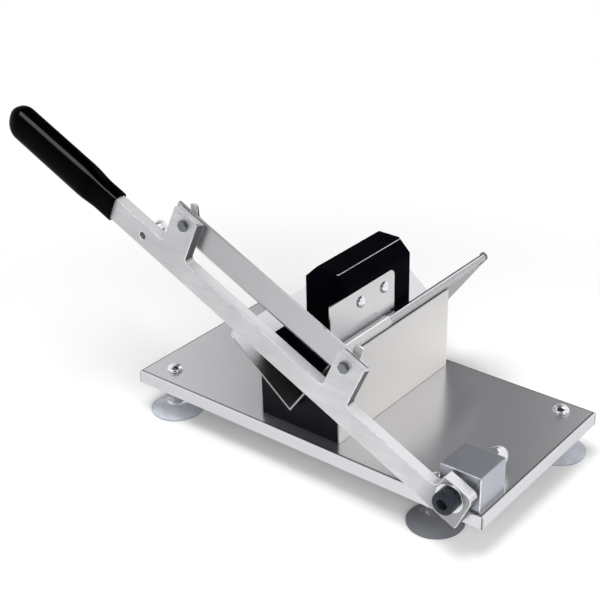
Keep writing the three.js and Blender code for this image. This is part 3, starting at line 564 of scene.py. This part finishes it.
@cache
def milled_arm():
    """Satin bar: cutter marks and broad soft streaks along it, a matt speckle and a cloud. Its upper
    faces are lighter as a painted highlight, its front is darker round the pivot as painted shade,
    and its faces towards the pivot end, looking down and right, are darker as a painted reflection
    of the dark plate."""
    finish = Finish("milled aluminium", finishes().arm, 0.44, 0.55)
    pivot, reach, rise = lever_frame()
    turn = (0, LEVER_TILT, 0)
    lines = finish.noise(finish.stretched((60, 900, 1400), turn), detail=2)
    streaks = finish.noise(finish.stretched((9, 120, 150), turn))
    speckle = finish.noise(scale=1500, detail=2, roughness=0.7)
    cloud = finish.noise(scale=22, detail=5)
    finish.mottle(lines, 0.3, 0.7, 0.95, 1.05)
    finish.tint(finish.between(streaks, 0.35, 0.68, 0, 0.75), 1.2)
    finish.tint(finish.between(speckle, 0.52, 0.72, 0, 0.6), 1.2)
    finish.tint(finish.between(cloud, 0.42, 0.7, 0, 0.6), 0.82)
    # Painted shade: the front face darker within some 8 to 24 mm of the pivot.
    along = finish.math("SUBTRACT", finish.dot(finish.place, reach), float(pivot @ reach))
    front = finish.between(finish.facing((0, -1, 0)), 0.7, 0.9)
    near = finish.between(along, 8 * MM, 24 * MM, 1, 0)
    finish.tint(finish.math("MULTIPLY", near, front), 0.55)
    # Painted highlight: faces that look up along the bar, at 1.45 of the tone.
    finish.tint(finish.between(finish.facing(rise), 0.8, 0.95), 1.45)
    # Painted reflection of the dark plate: faces that look down and right, at 0.2 of the tone.
    finish.tint(finish.between(finish.facing(-reach), 0.8, 0.9), 0.2)
    finish.rough(speckle, 0.4, 0.54)
    finish.bump(finish.math("ADD", lines, finish.math("MULTIPLY", speckle, 0.7)), 0.00003, 0.5)
    return finish


@cache
def painted_edge_highlight():
    """Painted highlight on the broken edges of the arm and the pivot block: the arm's tone half again
    lighter, with dull spots.
    """
    tone = lighter(finishes().arm, 1.5)
    return speckled("painted edge highlight", tone, 0.35, 0.5, 250, (0.45, 0.65, 1, 0.65), (0.3, 0.45))


@cache
def cast_block():
    """Bead-blasted aluminium: fine pits and a faint cloud."""
    finish = Finish("blasted aluminium", finishes().block, 0.38, 0.9)
    pits = finish.noise(scale=2200, detail=2)
    cloud = finish.noise(scale=60, detail=4)
    finish.mottle(pits, 0.35, 0.65, 0.92, 1.08)
    finish.tint(finish.between(cloud, 0.4, 0.65, 0, 0.6), 1.1)
    finish.bump(pits, 0.00004, 0.6)
    return finish


@cache
def chrome():
    """Bright plating: nearly even, with faint swirls in its roughness."""
    return speckled("chrome", finishes().chrome, 0.11, 1.0, 300, (0.3, 0.7, 0.95, 1.03), (0.07, 0.16))


def plated(name, tone, roughness):
    """Plating over turned steel: a fine mottle in colour and roughness."""
    gloss = (roughness - 0.04, roughness + 0.06)
    return speckled(name, tone, roughness, 1.0, 500, (0.3, 0.7, 0.85, 1.12), gloss)


@cache
def washer_plating():
    return plated("washer plate", lighter(finishes().chrome, 0.72), 0.24)


# Painted shade: the plating made dark, for parts under the plate and the blade screws.
@cache
def shaded_plating():
    return plated("shaded plating", finishes().shaded_plating, 0.16)


@cache
def stud_plating():
    """Chrome on the head above the plate; below it, painted shade in the darker plating colour."""
    finish = plated("stud plating", finishes().chrome, 0.1)
    # Painted shade: the screw below the plate.
    below = finish.between(finish.part("Z"), plate_top() - 2 * MM, plate_top() - 0.5 * MM, 1, 0)
    finish.base(finish.mixed(below, finish.shade, tuple(finishes().shaded_plating)))
    return finish


@cache
def ground_rod():
    return plated("ground rod", finishes().rod, 0.14)


@cache
def stop_plating():
    """Chrome with painted shade on the tip, deep in the arm's hole."""
    finish = plated("stop bolt plating", finishes().chrome, 0.1)
    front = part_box("stop_bolt")[0].y
    # Painted shade of the hole: the tip near black.
    tip = finish.between(finish.part("Y"), front + 1 * MM, front + 2 * MM, 1, 0)
    finish.base(finish.mixed(tip, finish.shade, (0.1, 0.1, 0.11)))
    return finish


@cache
def black_oxide():
    """Oxidised steel: blue-black with a fine mottling."""
    finish = speckled("black oxide", finishes().oxide, 0.3, 0, 900, (0.35, 0.7, 0.7, 2.2), (0.24, 0.4))
    finish.set("IOR", 1.25)
    finish.bump(finish.specks, 0.00002, 0.4)
    return finish


def machined_plastic(name, ior, roughness, tone_by=1.0):
    """Machined black plastic: fine cutter lines along y and a faint cloud."""
    finish = Finish(name, lighter(finishes().plastic, tone_by), roughness)
    finish.set("IOR", ior)
    lines = finish.noise(finish.stretched((1200, 60, 1200)), detail=2)
    cloud = finish.noise(scale=40, detail=4)
    finish.mottle(cloud, 0.35, 0.7, 1, 1.9)
    finish.rough(lines, roughness - 0.04, roughness + 0.05)
    finish.bump(lines, 0.00001, 0.3)
    return finish


@cache
def cheek_plastic():
    return machined_plastic("cheek plastic", 1.14, 0.34)


@cache
def pusher_plastic():
    """The cheeks' plastic with a painted highlight along its long upper edge on the right: a light line
    on the chamfer just below the top."""
    finish = machined_plastic("pusher plastic", 1.04, 0.26, 0.4)
    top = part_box("pusher_block")[1].z
    crown = [v.co.x for v in frame["nodes"]["pusher_block"].data.vertices if v.co.z > top - 0.05 * MM]
    # Painted highlight: light grey on the right chamfer just below the top, in patches.
    right = finish.between(finish.part("X"), max(crown) + 0.1 * MM, max(crown) + 0.3 * MM)
    line = finish.band(finish.part("Z"), top - 1.35 * MM, top - 1.0 * MM, 0.1 * MM)
    patchy = finish.between(finish.noise(scale=35), 0.35, 0.65, 0.45, 1)
    painted_highlight = finish.math("MULTIPLY", finish.math("MULTIPLY", right, line), patchy)
    finish.base(finish.mixed(painted_highlight, finish.shade, (0.62, 0.62, 0.62)))
    return finish


@cache
def dipped_grip():
    """Dipped gloss vinyl: a slow wave in the coat and rare dust specks."""
    finish = Finish("dipped vinyl", finishes().grip, 0.2)
    finish.set("IOR", 1.07)
    wave = finish.noise(finish.stretched((16, 40, 40)), detail=2)
    specks = finish.noise(scale=700, detail=2)
    finish.mottle(specks, 0.6, 0.8, 1, 3)
    finish.rough(wave, 0.1, 0.18)
    finish.bump(wave, 0.0006, 0.5)
    return finish


@cache
def clear_vinyl():
    """Soft clear vinyl with a faint haze; the cup under the pivot is darker, as painted shade."""
    haze = (0.35, 0.7, 0.93, 1.08)
    finish = speckled("clear vinyl", finishes().vinyl, 0.12, 0, 120, haze, (0.08, 0.2), detail=4)
    finish.set("Transmission Weight", 0.88)
    finish.set("IOR", 1.2)
    low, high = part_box("base_plate")
    middle = (low + high) / 2
    # Painted shade: the front right cup at 0.55 of the tone.
    right = finish.between(finish.part("X"), middle.x, middle.x + 30 * MM)
    front = finish.between(finish.part("Y"), middle.y, middle.y + 30 * MM, 1, 0)
    finish.tint(finish.math("MULTIPLY", right, front), 0.55)
    finish.bump(finish.specks, 0.0002, 0.4)
    return finish


@cache
def natural_nylon():
    return speckled("natural nylon", finishes().liner, 0.45, 0, 200, (0.35, 0.7, 0.93, 1.04), (0.38, 0.52))


# Pieces


class SLICER_OT_plate(bpy.types.Operator):
    """Breaks the folded base plate's edges and gives it brushed steel"""

    bl_idname = "slicer.plate"
    bl_label = "Base plate"

    def execute(self, context):
        edged("base_plate", shapes().sheet_round, plate_steel())
        return {"FINISHED"}


def cup_profile(radius, height):
    """Cup wall from the bore out: the outside falls from the neck to the rim as a power curve, the
    inside rises from the rim to the middle as 1 - (r / R)^2."""
    bore, floor, soft = 4.2 * MM, 6.5 * MM, 0.3 * MM
    neck = radius * 0.356
    shoulder = neck * 1.12
    lip = radius * 0.867
    stem = [[0, floor], [bore, floor], [bore, height - soft], [bore + soft, height],
            [neck - 2 * soft, height], [neck, height - 2 * soft], [neck, height * 0.68],
            [neck * 1.03, height * 0.58]]
    out = np.linspace(shoulder, radius, 22)
    fall = ((radius - out) / (radius - shoulder)) ** 1.7
    outer = np.stack([out, height * 0.08 + height * 0.42 * fall], -1)
    bead = [[radius, height * 0.03], [radius - soft, 0.0]]
    inside = np.linspace(lip, 0, 16)
    hollow = np.stack([inside, height * 0.28 * (1 - (inside / lip) ** 2)], -1)
    return np.concatenate([stem, outer, bead, hollow])


def hex_nut(node, bore):
    """A nut about z: chamfered hexagonal outside, flat ends and a round bore, as one ring of rows."""
    centre, low, high = centre_of(node, "z")
    across_x, across_y, _ = np.array(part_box(node)[1]) - np.array(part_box(node)[0])
    columns, chamfer = 72, 0.4 * MM
    turn = once_round(columns)
    if across_x > across_y:
        turn = turn + np.pi / 6
    side, stations = chamfered_hex(min(across_x, across_y) / 2, low, high, turn)
    inner = circle_rows([bore + chamfer, bore, bore, bore + chamfer], columns)
    radii = np.concatenate([side, inner])
    along = np.concatenate([stations, [high, high - chamfer, low + chamfer, low]])
    return around("z", radii, along, centre)


def threaded_screw(node):
    """Dome-headed screw: below the head the radius is r - d (1 - w), where w is a triangle wave of
    station over pitch less turn, so that the crests wind up the shank as a thread."""
    centre, low, high = centre_of(node, "z")
    shank, head, head_height = 4 * MM, 6.9 * MM, 4.6 * MM
    rows_per_turn, columns = 6, 48
    pitch, depth = shapes().thread_pitch, shapes().thread_depth
    seat = high - head_height
    thread_top = seat - 4 * MM
    stations = np.linspace(low, thread_top, int((thread_top - low) / pitch * rows_per_turn))
    turn = once_round(columns)
    phase = (stations[:, None] / pitch - turn[None, :] / (2 * np.pi)) % 1
    wave = 1 - np.abs(2 * phase - 1)
    ends = np.clip(np.minimum(stations - low, thread_top - stations) / (1.5 * pitch), 0, 1)[:, None]
    thread = shank - depth * (1 - wave) * ends
    thread[0] *= 0.85
    cap = dome(head, seat + 0.5 * MM, high)
    upper = np.concatenate([[[shank, seat - 3 * MM], [shank, seat], [head * 0.97, seat]], cap])
    radii = np.concatenate([np.zeros((1, columns)), thread, circle_rows(upper[:, 0], columns)])
    along = np.concatenate([[low], stations, upper[:, 1]])
    return around("z", radii, along, centre)


class SLICER_OT_feet(bpy.types.Operator):
    """Makes the four vinyl cups, their threaded screws and the nuts that clamp them"""

    bl_idname = "slicer.feet"
    bl_label = "Feet"

    def execute(self, context):
        nut_bore = 4.2 * MM
        for foot in FEET:
            cup, screw = f"suction_cup_{foot}", f"foot_screw_{foot}"
            centre, low, high = centre_of(cup, "z")
            radius = (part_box(cup)[1].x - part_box(cup)[0].x) / 2
            formed(cup, "moulded", turned("z", cup_profile(radius, high - low), centre, 96), clear_vinyl())
            formed(screw, "threaded", threaded_screw(screw), stud_plating())
            for nut in (f"foot_nut_{foot}", f"plate_nut_{foot}"):
                formed(nut, "chamfered", hex_nut(nut, nut_bore), shaded_plating(), closed=True)
        return {"FINISHED"}


class SLICER_OT_housing(bpy.types.Operator):
    """Dresses the black cheeks, the steel side panels, the polished trough and the screws below"""

    bl_idname = "slicer.housing"
    bl_label = "Housing and trough"

    def execute(self, context):
        for node in ("front_cheek", "rear_cheek"):
            edged(node, shapes().cheek_round, cheek_plastic())
        for node in ("left_panel", "right_panel"):
            edged(node, shapes().sheet_round, panel_steel())
        edged("meat_trough", shapes().sheet_round, trough_steel())
        for number in range(1, 5):
            dress(f"cheek_screw_{number}", chrome())
        return {"FINISHED"}


def button_screw(node):
    """A domed screw along x with a plain shank whose tip is turned off."""
    centre, low, high = centre_of(node, "x")
    head, head_height, shank, tip = 4.6 * MM, 2.6 * MM, 2.5 * MM, 0.6 * MM
    seat = high - head_height
    profile = np.concatenate([[[0, low], [shank * 0.8, low], [shank, low + tip], [shank, seat],
                               [head * 0.96, seat]], dome(head, seat + 0.3 * MM, high)])
    return turned("x", profile, centre)


class SLICER_OT_guide(bpy.types.Operator):
    """Makes the guide rod with its chamfered ends, the nylon liner and the bracket with its screws"""

    bl_idname = "slicer.guide"
    bl_label = "Guide rod and bracket"

    def execute(self, context):
        centre, low, high = centre_of("guide_rod", "y")
        radius, chamfer = 3 * MM, 0.5 * MM
        profile = rod_profile(0, radius, low, high, chamfer)
        formed("guide_rod", "turned", turned("y", profile, centre), ground_rod())
        centre, low, high = centre_of("guide_bush", "y")
        inner, outer, chamfer = 3.2 * MM, 3.75 * MM, 0.1 * MM
        profile = rod_profile(inner, outer, low, high, chamfer)
        formed("guide_bush", "turned", turned("y", profile, centre), natural_nylon(), closed=True)
        edged("pusher_bracket", shapes().bracket_round, bracket_steel())
        for place in ("front", "rear"):
            node = f"bracket_screw_{place}"
            formed(node, "turned", button_screw(node), chrome())
        return {"FINISHED"}


class SLICER_OT_pusher(bpy.types.Operator):
    """Rounds the pusher block's edges and gives it black plastic"""

    bl_idname = "slicer.pusher"
    bl_label = "Pusher block"

    def execute(self, context):
        edged("pusher_block", shapes().moulded_round, pusher_plastic(), segments=3)
        return {"FINISHED"}


def knurled_bolt(node):
    """Socket-head bolt along y: a hexagonal pit inside a round head whose side is
    r - k (1 - cos(n t)) / 2, then the shank."""
    centre, low, high = centre_of(node, "y")
    head, head_height, shank, shank_tip = 9 * MM, 9 * MM, 6 * MM, 0.8 * MM
    socket_flats, socket_depth, columns = 8 * MM, 5 * MM, 240
    turn = once_round(columns)
    pit = flats(turn, socket_flats / 2)
    side = head - shapes().knurl_depth * (1 - np.cos(shapes().knurl_count * turn)) / 2
    edge = head * 0.15
    pit_floor, head_end = low + socket_depth, low + head_height
    rows = [
        (0, pit_floor), (pit * 0.96, pit_floor), (pit, low + 0.3 * MM), (pit + 0.25 * MM, low),
        (head - edge * 1.2, low), (head - edge * 0.3, low + edge * 0.35), (side, low + edge),
        (side, low + edge * 1.1), (side, head_end - 0.5 * MM), (head - 0.3 * MM, head_end),
        (shank, head_end), (shank, high - shank_tip), (shank - shank_tip, high), (0, high),
    ]
    radii = np.array([np.broadcast_to(radius, columns) for radius, _ in rows])
    return around("y", radii, [station for _, station in rows], centre)


def ring_washer(node, bore):
    """A washer: outer and inner cylinders joined by flat faces with small chamfers."""
    centre, low, high = centre_of(node, "y")
    radius = (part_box(node)[1].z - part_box(node)[0].z) / 2
    chamfer = 0.25 * MM
    outside = rod_profile(bore + chamfer, radius, low, high, chamfer)
    return turned("y", [[bore, low + chamfer], *outside, [bore, high - chamfer]], centre, 72)


def cap_nut(node):
    """A chamfered hexagon that runs into an elliptic dome, with a blind bore from its flat face."""
    centre, low, high = centre_of(node, "y")
    apothem, bore, columns = 9 * MM, 6.2 * MM, 72
    hex_end, bore_end = low + 11.5 * MM, low + 16 * MM
    side, stations = chamfered_hex(apothem, low, hex_end, once_round(columns))
    cap = dome(apothem * 0.93, hex_end, high, 18)
    radii = np.concatenate([circle_rows([0, bore, bore], columns), side, circle_rows(cap[:, 0], columns)])
    along = np.concatenate([[bore_end, bore_end, low], stations, cap[:, 1]])
    return around("y", radii, along, centre)


class SLICER_OT_pivot(bpy.types.Operator):
    """Dresses the pivot block and makes its bolt, washers, spacer and cap nut"""

    bl_idname = "slicer.pivot"
    bl_label = "Pivot"

    def execute(self, context):
        washer_bore = 6.2 * MM
        edged("pivot_block", shapes().edge_round, cast_block(), edge=painted_edge_highlight())
        for number in (1, 2):
            dress(f"block_screw_{number}", chrome())
        formed("pivot_bolt", "knurled", knurled_bolt("pivot_bolt"), black_oxide())
        for node in ("pivot_washer_front", "pivot_spacer", "pivot_washer_rear"):
            formed(node, "turned", ring_washer(node, washer_bore), washer_plating(), closed=True)
        formed("pivot_cap_nut", "domed", cap_nut("pivot_cap_nut"), chrome())
        return {"FINISHED"}


def lever_frame():
    """The lever's own axes at rest: from the pivot, reach along the bar and rise square to it."""
    pivot = next(joint["pos_m"] for joint in frame["joints"] if joint["child"] == "lever")
    cos, sin = math.cos(LEVER_TILT), math.sin(LEVER_TILT)
    return np.array(pivot), np.array([-cos, 0, sin]), np.array([sin, 0, cos])


def smooth_step(x, low, high):
    """3 t^2 - 2 t^3, where t goes from 0 to 1 between two values."""
    t = np.clip((x - low) / (high - low), 0, 1)
    return t * t * (3 - 2 * t)


def grip_surface():
    """Dipped grip over the bar's tongue. At reach u and angle t its outside is a squared oval,
    y = a |cos t|^p, z = b |sin t|^p with the signs of cos and sin. It swells from the neck to the
    palm by a smooth step, the power p goes from 1/2 to 4/5, and in the tip both halves shrink as
    the square root of 1 - s^2. Rows of a rectangle inside make the pocket for the tongue."""
    pivot, reach, rise = lever_frame()
    start, end, tip = shapes().grip_start, shapes().grip_end, shapes().grip_tip
    front, rear = (corner.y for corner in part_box("lever_arm"))
    tongue_low, tongue_high, tongue_end = -21.5 * MM, -0.5 * MM, 462 * MM
    neck_height, neck_depth, swell_by = 13 * MM, 7.5 * MM, 2.5 * MM
    turn = once_round(64)
    cos, sin = np.cos(turn), np.sin(turn)
    tip_start = end - tip
    mouth = [start + 0.1 * MM, start, start + 0.15 * MM]
    body = np.linspace(start + 0.8 * MM, tip_start, 70, endpoint=False)
    u = np.concatenate([mouth, body, tip_start + tip * np.sin(np.linspace(0, np.pi / 2, 20))])
    mouth_round = np.concatenate([[0.86, 0.93, 0.985], np.ones(len(u) - 3)])
    swell = smooth_step(u, start + shapes().grip_neck, start + shapes().grip_swell)
    into = np.clip((u - tip_start) / tip, 0, 1)
    taper = np.sqrt(np.clip(1 - into * into, 0, 1)) * mouth_round
    half_height = (neck_height + swell_by * swell) * taper
    half_depth = (neck_depth + swell_by * swell) * taper
    power = (2 / (4 - 1.5 * swell))[:, None]
    y = half_depth[:, None] * np.sign(cos) * np.abs(cos) ** power
    z = half_height[:, None] * np.sign(sin) * np.abs(sin) ** power
    square = np.maximum(np.abs(cos), np.abs(sin))
    gap = 0.15 * MM
    pocket_end = tongue_end + 0.1 * MM
    pocket_u = [pocket_end, pocket_end, start + 0.6 * MM]
    shrink = np.array([0.0, 1.0, 1.0])[:, None]
    pocket_y = shrink * ((rear - front) / 2 + gap) * (cos / square)
    pocket_z = shrink * ((tongue_high - tongue_low) / 2 + gap) * (sin / square)
    u = np.concatenate([pocket_u, u])[:, None, None]
    y = np.concatenate([pocket_y, y]) + (front + rear) / 2
    z = np.concatenate([pocket_z, z]) + (tongue_low + tongue_high) / 2
    return pivot * (1, 0, 1) + u * reach + z[..., None] * rise + y[..., None] * (0, 1, 0)


class SLICER_OT_lever(bpy.types.Operator):
    """Breaks the arm's edges and makes the dipped grip, the stop bolt and its sleeve"""

    bl_idname = "slicer.lever"
    bl_label = "Lever"

    def execute(self, context):
        sleeve_bore = 3.2 * MM
        edged("lever_arm", shapes().edge_round, milled_arm(), edge=painted_edge_highlight())
        formed("hand_grip", "dipped", grip_surface(), dipped_grip())
        edged("stop_bolt", shapes().screw_round, stop_plating())
        formed("stop_sleeve", "turned", ring_washer("stop_sleeve", sleeve_bore), chrome(), closed=True)
        return {"FINISHED"}


class SLICER_OT_blade(bpy.types.Operator):
    """Gives the blade ground steel, and dresses its hexagonal screws and flat winged nuts"""

    bl_idname = "slicer.blade"
    bl_label = "Blade"

    def execute(self, context):
        dress("blade", blade_steel())
        for place in ("inner", "outer"):
            edged(f"blade_screw_{place}", shapes().screw_round, shaded_plating())
            edged(f"wing_nut_{place}", shapes().screw_round, chrome())
        return {"FINISHED"}


# Studio


def lamp(name, place, aim, across, watts):
    """A round soft lamp that looks at a point and doesn't show in gloss."""
    light = bpy.data.lights.new(name, "AREA")
    light.shape = "DISK"
    light.size = across
    light.energy = watts
    piece = placed(name, light)
    piece.location = place
    piece.rotation_euler = (Vector(aim) - Vector(place)).to_track_quat("-Z", "Y").to_euler()
    piece.visible_glossy = False
    return piece


def sheet(name, width, height):
    """A flat rectangle round the origin."""
    mesh = bpy.data.meshes.new(name)
    corners = [(x * width / 2, y * height / 2, 0) for x, y in ((-1, -1), (1, -1), (1, 1), (-1, 1))]
    mesh.from_pydata(corners, [], [(0, 1, 2, 3)])
    return placed(name, mesh)


def reflector(name, azimuth, elevation, distance, width, height, strength, levels=((0, 1),)):
    """A flat card that only gloss sees: its centre stands at an angle and a distance, facing the slicer.
    Its brightness is the strength times a level that runs from stop to stop across its width."""
    turn, lift = math.radians(azimuth), math.radians(elevation)
    out = Vector((math.sin(turn) * math.cos(lift), math.cos(turn) * math.cos(lift), math.sin(lift)))
    finish = Finish(name, (0, 0, 0), 1)
    ramp = finish.node("ValToRGB", {0: finish.between(finish.part("X"), -width / 2, width / 2)})
    stops = ramp.color_ramp.elements
    for number, (stop, level) in enumerate(levels):
        element = stops.new(stop) if number else stops[0]
        element.position = stop
        element.color = (level, level, level, 1)
    stops.remove(stops[-1])
    glow = finish.node("Emission", {"Strength": strength, "Color": ramp.outputs[0]})
    finish.wire(glow.outputs[0], finish.nodes["Material Output"].inputs["Surface"])
    card = sheet(name, width, height)
    card.data.materials.append(finish.material)
    card.location = out * distance
    card.rotation_euler = (-out).to_track_quat("Z", "Y").to_euler()
    card.visible_camera = card.visible_diffuse = card.visible_shadow = card.visible_transmission = False


class SLICER_OT_stage(bpy.types.Operator):
    """Sets the pale floor, the white background, the soft lamps and the camera"""

    bl_idname = "slicer.stage"
    bl_label = "Studio"

    def execute(self, context):
        self.floor()
        self.background(context.scene)
        self.lamps()
        self.reflectors()
        self.camera(context.scene)
        context.scene.view_settings.view_transform = "Standard"
        return {"FINISHED"}

    def floor(self):
        """A pale sheet, white to the camera and through clear plastic; far out, white to gloss too."""
        side, fade_start, fade_end = 24.0, 0.27, 0.46
        floor = sheet("floor", side, side)
        floor.location.z = -0.5 * MM
        material = bpy.data.materials.new("floor")
        material.use_nodes = True
        tree = Wiring(material.node_tree)
        tree.nodes.remove(tree.nodes["Principled BSDF"])
        stage = stage_settings()
        tone = (stage.floor_level,) * 3
        seen_by = {
            "Is Glossy Ray": stage.floor_gloss,
            "Is Transmission Ray": stage.floor_seen,
            "Is Camera Ray": stage.floor_seen,
        }
        for kind, level in seen_by.items():
            tone = tree.mixed(tree.node("LightPath").outputs[kind], tone, (level,) * 3)
        matt = tree.node("BsdfDiffuse", {"Color": tone})
        away = tree.vector_math("LENGTH", tree.node("TexCoord").outputs["Object"])["Value"]
        rim = tree.between(away, fade_start, fade_end, kind="SMOOTHSTEP")
        far = tree.math("MULTIPLY", rim, tree.seen_directly())
        tree.either(far, matt, tree.node("Emission"), "Material Output")
        floor.data.materials.append(material)

    def background(self, scene):
        """White to the camera, to gloss and through clear plastic; a plain level to everything else."""
        world = bpy.data.worlds.new("studio")
        scene.world = world
        world.use_nodes = True
        tree = Wiring(world.node_tree)
        tree.nodes.remove(tree.nodes["Background"])
        plain, white = (
            tree.node("Background", {"Color": (1, 1, 1, 1), "Strength": level})
            for level in (stage_settings().world_level, 1.0)
        )
        tree.either(tree.seen_directly(), plain, white, "World Output")

    def lamps(self):
        """Three soft lamps on everything, and a narrow one that lights the hand grip alone and shows
        in its gloss."""
        stage = stage_settings()
        lamp("key lamp", (0.05, -0.45, 2.0), (0, 0, 0.05), 1.1, stage.key_power)
        lamp("fill lamp", (1.7, -0.7, 0.9), (0, 0, 0.08), 1.0, stage.fill_power)
        lamp("front lamp", (0.6, -0.8, 0.35), (0.05, 0, 0.08), 0.8, stage.front_power)
        strip = lamp("grip lamp", (-0.32, -1.0, 1.34), (-0.35, -0.02, 0.2), 1.3, stage.grip_power)
        strip.data.shape = "RECTANGLE"
        strip.data.size_y = 0.8
        strip.visible_glossy = True
        only = bpy.data.collections.new("lit by the grip lamp")
        only.objects.link(bpy.data.objects["hand_grip_dipped"])
        strip.light_linking.receiver_collection = only

    def reflectors(self):
        """Cards in the gloss: azimuth and elevation in degrees, distance, width, height, strength."""
        backdrop = (
            (0, 0.74), (0.27, 0.72), (0.35, 0.58), (0.44, 0.25),
            (0.72, 0.24), (0.77, 0.5), (0.82, 0.7), (0.98, 0.75),
        )
        reflector("grey backdrop", -35, 31, 2.6, 2.42, 2.9, 1.0, backdrop)
        reflector("camera side", 143.4, 27, 2.2, 1.9, 1.3, 0.03)
        reflector("ceiling", 0, 90, 2.2, 2.6, 2.6, 0.05)
        reflector("bright strip", 6, 47, 1.9, 0.55, 0.6, 2.0)

    def camera(self, scene):
        """Looks from an azimuth and elevation at a point, rolled, with the frame's centre shifted."""
        stage = stage_settings()
        level = math.cos(stage.elevation)
        back = Vector((math.sin(stage.azimuth) * level, -math.cos(stage.azimuth) * level,
                       math.sin(stage.elevation)))
        right = (-back).cross(Vector((0, 0, 1))).normalized()
        up = right.cross(-back)
        cos, sin = math.cos(stage.roll), math.sin(stage.roll)
        right, up = right * cos + up * sin, up * cos - right * sin
        data = bpy.data.cameras.new("camera")
        camera = placed("camera", data)
        place = Vector((stage.aim_x, stage.aim_y, stage.aim_z)) + back * stage.distance
        turn = Matrix((right, up, back)).transposed()
        camera.matrix_world = Matrix.Translation(place) @ turn.to_4x4()
        data.sensor_width = 36
        data.lens = stage.focal_pixels * data.sensor_width / PHOTO_SIDE
        middle = (PHOTO_SIDE - 1) / 2
        data.shift_x = (middle - stage.centre_x) / PHOTO_SIDE
        data.shift_y = (stage.centre_y - middle) / PHOTO_SIDE
        data.clip_start, data.clip_end = 0.05, 60
        scene.camera = camera


OPERATORS = (
    SLICER_OT_plate, SLICER_OT_feet, SLICER_OT_housing, SLICER_OT_guide, SLICER_OT_pusher,
    SLICER_OT_pivot, SLICER_OT_lever, SLICER_OT_blade, SLICER_OT_stage,
)
SETTINGS = {"slicer_shapes": SlicerShapes, "slicer_finishes": SlicerFinishes, "slicer_stage": SlicerStage}


class SLICER_PT_panel(bpy.types.Panel):
    """Lists the slicer's pieces and settings"""

    bl_idname = "SLICER_PT_panel"
    bl_label = "Meat slicer"
    bl_space_type = "VIEW_3D"
    bl_region_type = "UI"
    bl_category = "Slicer"

    def draw(self, context):
        for operator in OPERATORS:
            self.layout.operator(operator.bl_idname)
        for attribute, group in SETTINGS.items():
            box = self.layout.box()
            for field in group.__annotations__:
                box.prop(getattr(context.scene, attribute), field)


def register():
    for attribute, group in SETTINGS.items():
        bpy.utils.register_class(group)
        setattr(bpy.types.Scene, attribute, bpy.props.PointerProperty(type=group))
    for operator in (*OPERATORS, SLICER_PT_panel):
        bpy.utils.register_class(operator)


def unregister():
    for operator in (SLICER_PT_panel, *reversed(OPERATORS)):
        bpy.utils.unregister_class(operator)
    for attribute, group in SETTINGS.items():
        delattr(bpy.types.Scene, attribute)
        bpy.utils.unregister_class(group)


def main():
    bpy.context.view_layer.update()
    register()
    for operator in OPERATORS:
        space, action = operator.bl_idname.split(".")
        getattr(getattr(bpy.ops, space), action)()


if __name__ == "__main__":
    main()
